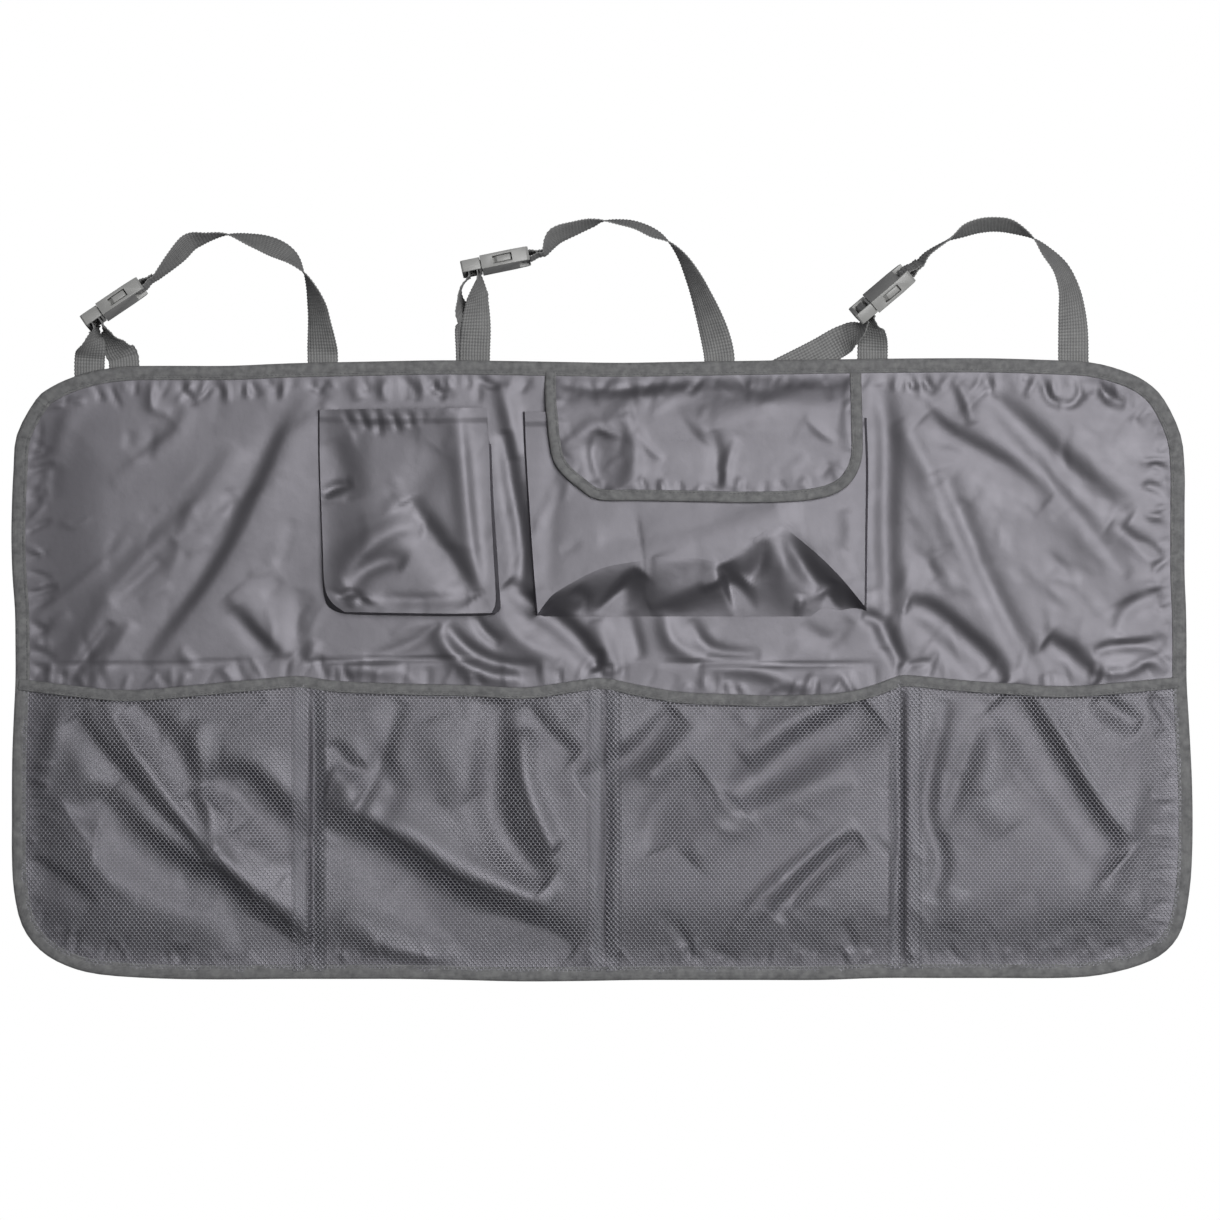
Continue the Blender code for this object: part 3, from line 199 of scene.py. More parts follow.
# Folds of the panel above the net
UPPER_FOLDS = folds_from_photo(upper_share, (
    Fold(((925, 416), (945, 434), (975, 450), (1010, 470), (1050, 500)), -3.2, 8, 15),
    Fold(((985, 393), (1020, 425), (1060, 465), (1098, 498), (1130, 520)), -4.6, 10, 20),
    Fold(((1110, 524), (1136, 542), (1162, 562)), -2.8, 6, 9),
    Fold(((938, 470), (960, 520), (985, 580), (1012, 632), (1047, 684)), -2.6, 9, 12),
    Fold(((908, 604), (932, 615), (960, 638), (985, 660), (1004, 684)), -6, 8, 11),
    Fold(((1046, 640), (1068, 658), (1096, 684)), -5, 8, 11),
    Fold(((1093, 652), (1112, 646), (1140, 644), (1166, 642)), -2.4, 3.5, 5),
    Fold(((1116, 636), (1124, 612), (1145, 599), (1166, 594)), -1.6, 5, 7),
    Fold(((1090, 670), (1125, 672), (1150, 660), (1168, 672)), 1.6, 4, 4),
    Fold(((1038, 368), (1048, 396), (1062, 406)), -1.8, 3, 4),
    Fold(((1062, 406), (1076, 402), (1084, 378)), -1.6, 3, 3),
    Fold(((1096, 378), (1108, 396), (1126, 405)), -2.4, 4, 5),
    Fold(((906, 372), (914, 390)), -1.8, 3, 3),
    Fold(((920, 374), (934, 394)), -1.6, 3, 3),
    Fold(((952, 374), (966, 400), (972, 424)), 1.8, 6, 4),
    Fold(((984, 372), (990, 390)), -1.4, 4, 4),
    Fold(((1150, 464), (1172, 474)), -1.4, 2.5, 3),
    Fold(((1146, 482), (1164, 492), (1172, 504)), -1.5, 2.5, 3),
    Fold(((1156, 510), (1172, 506)), -1, 2, 2),
    Fold(((880, 385), (887, 440), (886, 520), (888, 600), (884, 650)), -3.4, 9, 7),
    Fold(((862, 614), (880, 624), (894, 650), (902, 666)), -3.6, 5, 5),
    Fold(((905, 666), (930, 662)), -1.2, 2.5, 2.5),
    Fold(((898, 420), (920, 455), (950, 520), (985, 600), (1020, 668)), 2.2, 8, 10),
    Fold(((972, 398), (1010, 440), (1060, 495), (1110, 560), (1130, 600)), 2.4, 9, 16),
    Fold(((905, 520), (920, 560), (935, 580)), -1, 8, 10),
    Fold(((318, 394), (290, 430), (266, 486), (246, 530), (216, 580), (186, 624), (150, 668)),
         4.6, 28, 9),
    Fold(((320, 388), (300, 414), (278, 430), (262, 468), (240, 502), (222, 544), (200, 580),
         (168, 622), (140, 660)), -2.6, 7, 10),
    Fold(((230, 594), (258, 626), (292, 657)), 3.6, 22, 6),
    Fold(((236, 606), (256, 634), (276, 656)), -2.6, 5, 8),
    Fold(((68, 678), (104, 612), (150, 552), (188, 522), (214, 486), (238, 446)), 2.6, 9, 13),
    Fold(((112, 602), (138, 582), (158, 562), (176, 542)), -2.4, 6, 6),
    Fold(((66, 684), (90, 652), (112, 622)), -3.2, 4.5, 6),
    Fold(((92, 690), (122, 640), (132, 622)), 1.8, 5, 6),
    Fold(((28, 626), (60, 600), (92, 574), (130, 540)), 0.9, 4, 4),
    Fold(((110, 484), (150, 452), (178, 430), (190, 402)), 1.3, 5, 7),
    Fold(((134, 456), (172, 422)), -1.6, 8, 8),
    Fold(((160, 560), (185, 530), (192, 500)), 1.6, 6, 8),
    Fold(((60, 521), (74, 527), (92, 519)), 0.7, 2, 2),
    Fold(((180, 376), (186, 392), (197, 406)), -2.2, 3, 4),
    Fold(((212, 376), (224, 396)), -1.8, 3, 4),
    Fold(((244, 374), (259, 397)), -2, 3, 3),
    Fold(((266, 374), (272, 386)), -1.4, 2.5, 3),
    Fold(((150, 380), (150, 404), (170, 414)), 1.4, 5, 5),
    Fold(((28, 460), (40, 440)), -1.6, 2.5, 3),
    Fold(((25, 470), (34, 467)), -1.4, 1.8, 2),
    Fold(((24, 494), (32, 492)), -1.2, 1.8, 2),
    Fold(((24, 514), (31, 513)), -1.2, 1.8, 2),
    Fold(((25, 532), (34, 530)), -1.2, 1.8, 2),
    Fold(((45, 402), (60, 392), (78, 386)), 1, 2.5, 2.5),
    Fold(((54, 470), (66, 420), (92, 392)), 1.2, 6, 8),
    Fold(((180, 648), (196, 668)), 1.6, 4, 5),
    Fold(((300, 590), (296, 640), (306, 660)), -2, 7, 7),
    Fold(((318, 640), (308, 662)), 1.2, 4, 4),
    Fold(((26, 668), (60, 664), (150, 664), (230, 662), (290, 658)), -1.1, 1.3, 2.2),
    Fold(((306, 662), (350, 660), (420, 659), (480, 659)), -1.3, 1.3, 2.4),
    Fold(((660, 663), (720, 663), (800, 664), (880, 663)), -1.3, 1.3, 2.4),
    Fold(((330, 672), (362, 668), (400, 672)), 1.6, 6, 6),
    Fold(((436, 628), (452, 654), (478, 672), (520, 680)), 3, 6, 7),
    Fold(((446, 626), (470, 650), (500, 664), (540, 668)), -2.6, 5, 6),
    Fold(((366, 660), (410, 644), (440, 626)), -1.4, 5, 6),
    Fold(((474, 614), (484, 630), (500, 644)), -2, 4, 4),
    Fold(((496, 610), (520, 640), (560, 660)), 2, 7, 9),
    Fold(((508, 582), (530, 602), (556, 620), (580, 640), (600, 668)), -6, 6, 9),
    Fold(((596, 620), (606, 650), (616, 672)), 2.4, 8, 9),
    Fold(((628, 612), (636, 640), (640, 660)), -1.6, 5, 6),
    Fold(((664, 610), (672, 640), (700, 660)), 2.2, 6, 7),
    Fold(((690, 620), (710, 648), (760, 656)), -1.8, 5, 5),
    Fold(((700, 668), (750, 668), (800, 684), (850, 686)), 2.4, 9, 7),
    Fold(((800, 625), (830, 640), (850, 620)), -1.2, 6, 6),
    Fold(((505, 430), (512, 480), (522, 540), (522, 590)), -3.6, 5, 6),
    Fold(((500, 380), (510, 420), (516, 460)), 2.2, 7, 6),
    Fold(((430, 376), (436, 390), (446, 396)), -2.2, 3, 4),
    Fold(((448, 376), (452, 392)), 1.4, 3, 3),
    Fold(((476, 372), (486, 384), (500, 386)), -1.8, 2.5, 3),
    Fold(((352, 378), (362, 400)), 1.6, 4, 5),
    Fold(((380, 376), (386, 402)), 1.2, 4, 4),
    Fold(((402, 376), (408, 400)), -1, 3, 3),
    Fold(((600, 650), (596, 672)), -2.6, 3, 4),
    Fold(((590, 664), (614, 668)), -1.2, 2, 2),
))

# Folds of the panel and the net below its upper edge
LOWER_FOLDS = folds_from_photo(lower_share, (
    Fold(((314, 690), (315, 760), (313, 830), (314, 900), (313, 962)), -3, 4.5, 3),
    Fold(((606, 690), (604, 760), (606, 830), (603, 900), (604, 962)), -3, 4.5, 3),
    Fold(((898, 690), (897, 760), (899, 830), (896, 900), (897, 962)), -3, 4.5, 3),
    Fold(((74, 818), (94, 806), (112, 808), (136, 836), (166, 862), (196, 880), (224, 890),
         (252, 916), (284, 940), (306, 962)), -6.5, 13, 20),
    Fold(((112, 790), (136, 812), (166, 838), (196, 856), (224, 868), (252, 890), (284, 914),
         (312, 940)), 4.5, 16, 13),
    Fold(((206, 798), (222, 782), (242, 784), (262, 806), (284, 826), (311, 846)), -6, 12, 18),
    Fold(((222, 764), (250, 766), (276, 784), (300, 806)), 3.2, 14, 11),
    Fold(((312, 824), (340, 836), (372, 852), (404, 872), (434, 892), (470, 910), (510, 922),
         (542, 936), (572, 956)), -6.5, 15, 26),
    Fold(((322, 800), (356, 810), (388, 826), (422, 846), (452, 866), (486, 884), (520, 896),
         (552, 910)), 5, 18, 14),
    Fold(((28, 860), (50, 872), (74, 888), (96, 906)), -3.4, 5, 12),
    Fold(((76, 714), (92, 738), (118, 768), (152, 806), (182, 836), (204, 862)), -3.6, 6, 14),
    Fold(((132, 700), (158, 728), (184, 760), (200, 792)), -3.2, 10, 14),
    Fold(((200, 720), (196, 750), (206, 790), (214, 830), (228, 868), (260, 900)), 2.2, 9, 7),
    Fold(((60, 700), (50, 760), (40, 800)), 1.8, 8, 8),
    Fold(((104, 700), (140, 760), (186, 820), (216, 850)), 2, 7, 7),
    Fold(((86, 850), (108, 878), (140, 896)), 1.6, 7, 8),
    Fold(((236, 830), (262, 862), (284, 880)), 2.6, 12, 10),
    Fold(((330, 742), (352, 768), (366, 764)), -2.8, 6, 7),
    Fold(((360, 730), (392, 790), (370, 830)), -1.4, 10, 8),
    Fold(((330, 770), (350, 790), (360, 800)), 2.2, 10, 10),
    Fold(((400, 700), (380, 760), (350, 830)), -1.6, 7, 8),
    Fold(((430, 720), (452, 770), (470, 800)), 2, 16, 14),
    Fold(((499, 700), (497, 745), (496, 800), (506, 832), (530, 866), (548, 882)), -5.4, 10, 14),
    Fold(((524, 702), (548, 732), (576, 756)), -4.2, 6, 12),
    Fold(((520, 730), (524, 780), (548, 840), (556, 850)), 2.6, 9, 8),
    Fold(((340, 920), (400, 950), (460, 960)), 1.4, 9, 9),
    Fold(((580, 784), (612, 764), (640, 748), (674, 710)), -4, 8, 14),
    Fold(((868, 706), (846, 724), (800, 746), (762, 774), (734, 802)), -6, 20, 14),
    Fold(((850, 690), (820, 712), (780, 736), (746, 764)), 3, 10, 14),
    Fold(((700, 770), (668, 796), (650, 830), (656, 852)), -3.8, 18, 11),
    Fold(((860, 838), (836, 852), (800, 886), (774, 916)), -3.2, 9, 7),
    Fold(((726, 952), (760, 900), (820, 850), (856, 826)), 1.8, 7, 10),
    Fold(((640, 780), (664, 760), (700, 720)), 1.6, 8, 8),
    Fold(((690, 860), (730, 820), (800, 790), (850, 770)), 2, 14, 14),
    Fold(((676, 920), (690, 950), (700, 962)), -1.6, 4, 4),
    Fold(((844, 920), (854, 950)), -1.4, 4, 4),
    Fold(((1004, 694), (1024, 720), (1050, 760), (1074, 800), (1100, 838), (1122, 860)), -6.6, 12, 20),
    Fold(((1096, 696), (1116, 712), (1140, 726)), -4.6, 7, 10),
    Fold(((1150, 696), (1164, 716), (1174, 730)), -2.6, 4, 4),
    Fold(((1030, 694), (1062, 740), (1088, 786), (1116, 830)), 2.4, 7, 7),
    Fold(((1000, 730), (985, 790), (1010, 830)), 2.4, 14, 14),
    Fold(((946, 700), (932, 760), (926, 810), (940, 860), (930, 900)), -2, 7, 8),
    Fold(((985, 700), (960, 780), (940, 830)), -1.4, 8, 8),
    Fold(((960, 890), (950, 930)), 1.6, 8, 10),
    Fold(((1060, 840), (1030, 890), (990, 920)), -1.2, 10, 10),
    Fold(((1140, 780), (1120, 850), (1090, 920)), 1.4, 10, 10),
))

# Folds of the small pocket's front
SMALL_FOLDS = folds_from_photo(as_picked, (
    Fold(((457, 408), (463, 460), (470, 530), (478, 592)), 3.2, 6, 9),
    Fold(((345, 412), (352, 426)), -1, 2.2, 3),
    Fold(((360, 411), (368, 430)), -1.3, 2, 3.4),
    Fold(((378, 411), (380, 436)), -1.5, 2.4, 2.8),
    Fold(((392, 412), (399, 432)), -1.3, 2.6, 2),
    Fold(((410, 412), (412, 428)), -1.1, 2, 3),
    Fold(((426, 412), (421, 424)), -0.8, 2, 2),
    Fold(((352, 436), (372, 430), (420, 434)), -1.4, 6, 9),
    Fold(((322, 496), (336, 489), (352, 484)), -2.8, 5, 3),
    Fold(((324, 502), (348, 497)), 0.8, 3, 3),
    Fold(((330, 440), (344, 470), (352, 500)), -1.6, 10, 12),
    Fold(((408, 500), (424, 524), (448, 556), (476, 598)), -4.4, 8, 14),
    Fold(((340, 594), (354, 562), (378, 538), (404, 526), (424, 530)), 3.2, 12, 8),
    Fold(((348, 586), (368, 568), (392, 560), (404, 566)), -2.8, 8, 7),
    Fold(((404, 500), (420, 480), (440, 452)), -1.2, 12, 12),
    Fold(((338, 598), (352, 592), (366, 604)), -2, 3, 3),
    Fold(((350, 606), (362, 596), (376, 602)), 1.6, 3, 3),
    Fold(((380, 598), (420, 600), (470, 598)), -1.6, 5, 6),
))

# Folds of the large pocket's front
LARGE_FOLDS = folds_from_photo(as_picked, (
    Fold(((638, 570), (622, 590), (600, 616)), -4.6, 11, 4),
    Fold(((641, 562), (650, 586), (656, 616)), 1.8, 24, 9),
    Fold(((722, 568), (690, 588), (650, 610)), 2.2, 10, 8),
    Fold(((722, 566), (732, 590), (744, 616)), -4.8, 10, 4),
    Fold(((700, 588), (716, 582), (724, 572)), 1.4, 4, 3),
    Fold(((776, 530), (786, 570), (790, 614)), 2.4, 13, 14),
    Fold(((782, 530), (806, 566), (822, 590)), -3.6, 9, 8),
    Fold(((764, 540), (758, 566), (748, 580)), -2.2, 6, 9),
    Fold(((833, 580), (828, 600), (832, 616)), -2.4, 6, 4),
    Fold(((802, 596), (798, 616)), 2, 3, 3),
    Fold(((574, 590), (584, 600), (580, 616)), -2, 5, 4),
    Fold(((846, 510), (850, 530), (846, 550)), 1, 5, 6),
    Fold(((560, 420), (552, 500), (548, 590)), -0.8, 8, 8),
    Fold(((600, 540), (680, 528), (740, 510), (772, 500)), -1.4, 14, 10),
    Fold(((640, 532), (720, 520), (800, 508)), 2.2, 14, 22),
))

# Folds of the flap
FLAP_FOLDS = folds_from_photo(as_picked, (
    Fold(((600, 432), (594, 456), (606, 492)), -3, 16, 5),
    Fold(((624, 414), (634, 440), (634, 470), (626, 490)), 2, 6, 7),
    Fold(((600, 430), (622, 412), (632, 408)), 1.4, 6, 10),
    Fold(((636, 430), (650, 450), (664, 460)), 0.9, 3, 3),
    Fold(((560, 448), (574, 440), (600, 420)), 1.6, 6, 7),
    Fold(((700, 440), (730, 416), (780, 402), (840, 410)), 2, 16, 14),
    Fold(((712, 430), (718, 460), (712, 486)), -1.6, 5, 6),
    Fold(((736, 438), (726, 470), (728, 490)), 1.3, 4, 4),
    Fold(((804, 416), (820, 432), (836, 442)), 0.9, 3, 3),
    Fold(((560, 384), (610, 392), (650, 384), (700, 378)), -2, 4, 6),
    Fold(((580, 392), (640, 398), (700, 388)), 1.4, 6, 8),
    Fold(((740, 376), (760, 390), (800, 384)), -1.2, 5, 6),
    Fold(((640, 478), (646, 492)), -0.9, 2, 2),
    Fold(((660, 480), (664, 492)), 0.9, 2, 2),
    Fold(((678, 482), (682, 492)), -0.9, 2, 2),
    Fold(((722, 470), (716, 490)), -1.2, 3, 3),
    Fold(((740, 478), (736, 492)), 1, 3, 3),
    Fold(((778, 480), (786, 492)), -0.8, 2, 3),
    Fold(((806, 476), (800, 490)), 0.9, 3, 3),
    Fold(((830, 462), (820, 478)), -0.9, 3, 3),
    Fold(((850, 384), (846, 420), (852, 452)), 1, 4, 5),
))


def moved(height: Height, step: float) -> Height:
    """A height moved up by a step, in metres."""

    def level(x: Array, y: Array) -> Array:
        return height(x, y) + step

    return level


def spread(p: Array, q: Array) -> Array:
    """Twice the area between two rows of flat vectors."""
    return np.abs(p[:, 0] * q[:, 1] - p[:, 1] * q[:, 0])


def smoothstep(low: float, high: float, value: Array) -> Array:
    """0 below low, 1 above high and an S-curve between them."""
    share = np.clip((value - low) / (high - low), 0.0, 1.0)
    return share * share * (3 - 2 * share)


def smooth_route(route: Route, steps: int = 4, closed: bool = False) -> Array:
    """Places on a smooth curve through a route.

    Args:
        route: the places to pass through.
        steps: places for each stretch of the route.
        closed: whether the route comes back to its start.

    Returns:
        An array of places, one row each, in the route's own unit.
    """
    given = np.array(route, float)
    if closed:
        knots = np.vstack([given[-1:], given, given[:2]])
    else:
        knots = np.vstack([2 * given[:1] - given[1:2], given, 2 * given[-1:] - given[-2:-1]])
    share = np.arange(steps)[:, None] / steps
    pieces = []
    for p0, p1, p2, p3 in zip(knots, knots[1:], knots[2:], knots[3:]):
        pieces.append(
            0.5
            * (
                2 * p1
                + (p2 - p0) * share
                + (2 * p0 - 5 * p1 + 4 * p2 - p3) * share**2
                + (3 * p1 - p0 - 3 * p2 + p3) * share**3
            )
        )
    if not closed:
        pieces.append(given[-1:])
    return np.vstack(pieces)


def resample(line: Array, spacing: float, closed: bool = False) -> Array:
    """The same line with places a given distance apart, or a little less."""
    if closed:
        line = np.vstack([line, line[:1]])
    along = travelled(line)
    count = max(2, math.ceil(along[-1] / spacing))
    at = np.linspace(0.0, along[-1], count + 1)
    if closed:
        at = at[:-1]
    return np.stack([np.interp(at, along, line[:, k]) for k in range(line.shape[1])], axis=1)


def travelled(line: Array) -> Array:
    """Distance from a line's start to each of its places."""
    return np.concatenate([[0.0], np.cumsum(np.linalg.norm(np.diff(line, axis=0), axis=1))])


def left_of(run: Array) -> Array:
    """Flat unit directions turned a quarter to the left."""
    return np.stack([-run[:, 1], run[:, 0]], axis=1)


def directions(line: Array, closed: bool = False) -> Array:
    """Unit direction of travel at each place of a line."""
    if closed:
        run = np.roll(line, -1, axis=0) - np.roll(line, 1, axis=0)
    else:
        run = np.gradient(line, axis=0)
    return run / np.maximum(np.linalg.norm(run, axis=1, keepdims=True), 1e-12)


@dataclass(frozen=True)
class Nearest:
    """How places lie beside a line: signed distance, left positive, and share along it."""

    across: Array
    along: Array
    beyond: Array


def nearest(line: Array, x: Array, y: Array) -> Nearest:
    """Measures places against a line of straight stretches."""
    best = np.full(x.shape, np.inf)
    side = np.ones(x.shape)
    along = np.zeros(x.shape)
    beyond = np.zeros(x.shape)
    count = len(line) - 1
    for k, (a, b) in enumerate(zip(line, line[1:])):
        run = b - a
        length = math.hypot(*run)
        if length < 1e-9:
            continue
        px, py = x - a[0], y - a[1]
        raw = (px * run[0] + py * run[1]) / length**2
        share = np.clip(raw, 0.0, 1.0)
        dx, dy = px - share * run[0], py - share * run[1]
        distance = np.hypot(dx, dy)
        closer = distance < best
        best = np.where(closer, distance, best)
        side = np.where(closer, np.sign(run[0] * py - run[1] * px + 1e-15), side)
        along = np.where(closer, (k + share) / count, along)
        past = (raw < 0) & (k == 0) | (raw > 1) & (k == count - 1)
        beyond = np.where(closer, past.astype(float), beyond)
    return Nearest(best * side, along, beyond)


class Relief:
    """The sum of many folds as a height over the ground plan.

    REACH is how many half widths out a fold is worked out, END_POWER how blunt its ends are.
    """

    REACH = 2.6
    END_POWER = 0.45

    def __init__(self, folds: Sequence[Fold], strength: float = 1.0) -> None:
        self.strength = strength
        self.folds = [(fold, smooth_route(fold.route, 3) * MM) for fold in folds]

    def __call__(self, x: Array, y: Array) -> Array:
        """Height of the folds at places.

        Args:
            x: places along the panel, in metres.
            y: places up the panel, in metres.

        Returns:
            Rise or fall at each place, in metres.
        """
        total = np.zeros(x.shape)
        for fold, line in self.folds:
            reach = self.REACH * max(fold.left, fold.right) * MM
            low, high = line.min(0) - reach, line.max(0) + reach
            near = (x > low[0]) & (x < high[0]) & (y > low[1]) & (y < high[1])
            if not near.any():
                continue
            place = nearest(line, x[near], y[near])
            half = np.where(place.across > 0, fold.left, fold.right) * MM
            fade = np.sin(np.pi * np.clip(place.along, 0.0, 1.0)) ** self.END_POWER
            shape = np.exp(-((np.abs(place.across) / half) ** 2))
            total[near] += self.strength * fold.height * MM * fade * shape
        return total


def scatter(
    seed: int,
    count: int,
    low: tuple[float, float],
    high: tuple[float, float],
    lean: float,
    spread: float,
    length: tuple[float, float],
    height: float,
    half: tuple[float, float],
) -> list[Fold]:
    """Small chance wrinkles over a rectangle.

    Args:
        seed: start of the chance row, so each run gives the same wrinkles.
        count: how many.
        low: lowest corner of the rectangle, in millimetres.
        high: highest corner of the rectangle, in millimetres.
        lean: their usual direction, in degrees from +X.
        spread: how far the direction strays, in degrees.
        length: shortest and longest, in millimetres.
        height: greatest rise or fall, in millimetres.
        half: narrowest and widest half width, in millimetres.

    Returns:
        The wrinkles as folds.
    """
    rng = np.random.default_rng(seed)
    folds = []
    for _ in range(count):
        centre = rng.uniform(low, high)
        angle = math.radians(lean + rng.normal(0.0, spread))
        run = np.array([math.cos(angle), math.sin(angle)]) * rng.uniform(*length) / 2
        bend = np.array([-run[1], run[0]]) * rng.uniform(-0.3, 0.3)
        places = (centre - run, centre + bend, centre + run)
        folds.append(
            Fold(
                tuple((float(p[0]), float(p[1])) for p in places),
                float(rng.uniform(0.25, 1.0) * height * rng.choice((-1.0, 1.0))),
                float(rng.uniform(*half)),
                float(rng.uniform(*half)),
            )
        )
    return folds


def puckers(
    seed: int, line: Array, spacing: float, length: tuple[float, float], height: float
) -> list[Fold]:
    """Short gathers that run in from a sewn edge.

    Args:
        seed: start of the chance row.
        line: the sewn edge in millimetres, the cloth on its left.
        spacing: mean distance between gathers, in millimetres.
        length: shortest and longest gather, in millimetres.
        height: greatest rise or fall, in millimetres.

    Returns:
        The gathers as folds.
    """
    rng = np.random.default_rng(seed)
    edge = resample(line, 1.0)
    run = directions(edge)
    folds = []
    at = rng.uniform(0.0, spacing)
    while at < len(edge) - 1:
        k = int(at)
        into = np.array([-run[k][1], run[k][0]])
        into = into + run[k] * rng.normal(0.0, 0.45)
        into /= np.linalg.norm(into)
        reach = rng.uniform(*length)
        middle = edge[k] + into * reach * 0.5 + run[k] * rng.normal(0.0, 1.0)
        places = (edge[k] - into * 4, middle, edge[k] + into * reach)
        half = rng.uniform(1.4, 3.0)
        folds.append(
            Fold(
                tuple((float(p[0]), float(p[1])) for p in places),
                float(rng.uniform(0.3, 1.0) * height * rng.choice((-1.0, 1.0))),
                float(half),
                float(half * rng.uniform(0.8, 1.4)),
            )
        )
        at += rng.uniform(0.45, 1.6) * spacing
    return folds


def build_mesh(
    name: str, points: Array, quads: Array, uv: Array | None = None, smooth: bool = True
) -> bpy.types.Object:
    """A mesh object from places and four-sided faces.

    Args:
        name: the piece's name.
        points: places, one row each, in metres.
        quads: four indices a row.
        uv: a place on the cloth for each point, in metres.
        smooth: whether its faces are shaded smooth.

    Returns:
        The new object, linked to the scene.
    """
    mesh = bpy.data.meshes.new(name)
    mesh.vertices.add(len(points))
    mesh.vertices.foreach_set("co", np.ascontiguousarray(points, np.float32).ravel())
    corners = np.ascontiguousarray(quads, np.int32)
    mesh.loops.add(corners.size)
    mesh.loops.foreach_set("vertex_index", corners.ravel())
    mesh.polygons.add(len(corners))
    mesh.polygons.foreach_set("loop_start", np.arange(0, corners.size, 4, dtype=np.int32))
    mesh.polygons.foreach_set("use_smooth", np.full(len(corners), smooth))
    mesh.update(calc_edges=True)
    if uv is not None:
        layer = mesh.uv_layers.new(name="cloth")
        layer.data.foreach_set("uv", np.ascontiguousarray(uv[corners.ravel()], np.float32).ravel())
    mesh.validate()
    obj = bpy.data.objects.new(name, mesh)
    bpy.context.scene.collection.objects.link(obj)
    return obj


def grid_quads(rows: int, columns: int, closed: bool = False, tube: bool = False) -> Array:
    """Faces between the points of a grid.

    Args:
        rows: how many rows of points.
        columns: how many points a row.
        closed: whether its last row joins its first.
        tube: whether its last column joins its first.

    Returns:
        Four indices a face.
    """
    row = np.arange(rows if closed else rows - 1)[:, None]
    column = np.arange(columns if tube else columns - 1)[None, :]
    beside = (column + 1) % columns
    a = row * columns
    b = (row + 1) % rows * columns
    return np.stack([a + column, a + beside, b + beside, b + column], axis=-1).reshape(-1, 4)


def keep_used(points: Array, quads: Array, uv: Array) -> tuple[Array, Array, Array]:
    """Drops the points that no face uses."""
    used, new = np.unique(quads, return_inverse=True)
    return points[used], new.reshape(quads.shape), uv[used]


def inside(line: Array, x: Array, y: Array) -> Array:
    """Whether places lie inside a closed line."""
    result = np.zeros(x.shape, bool)
    for a, b in zip(line, np.roll(line, -1, axis=0)):
        if a[1] == b[1]:
            continue
        spans = (a[1] > y) != (b[1] > y)
        cut = (b[0] - a[0]) * (y - a[1]) / (b[1] - a[1]) + a[0]
        result ^= spans & (x < cut)
    return result


def clearance(line: Array, x: Array, y: Array) -> Array:
    """Distance of places from a closed line, positive inside it."""
    ring = np.vstack([line, line[:1]])
    distance = np.abs(nearest(ring, x, y).across)
    return np.where(inside(line, x, y), distance, -distance)


class Surface(Enum):
    """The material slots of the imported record."""

    CLOTH = "coated_polyester"
    NET = "polyester_net"
    TAPE = "binding_tape"
    WEBBING = "polypropylene_webbing"
    PLASTIC = "acetal_plastic"
    PILE = "hook_and_loop"


def linear(code: str) -> tuple[float, float, float, float]:
    """Scene colour of an sRGB hex code."""
    shares = [int(code[k : k + 2], 16) / 255 for k in (0, 2, 4)]
    values = [s / 12.92 if s <= 0.04045 else ((s + 0.055) / 1.055) ** 2.4 for s in shares]
    return (*values, 1.0)


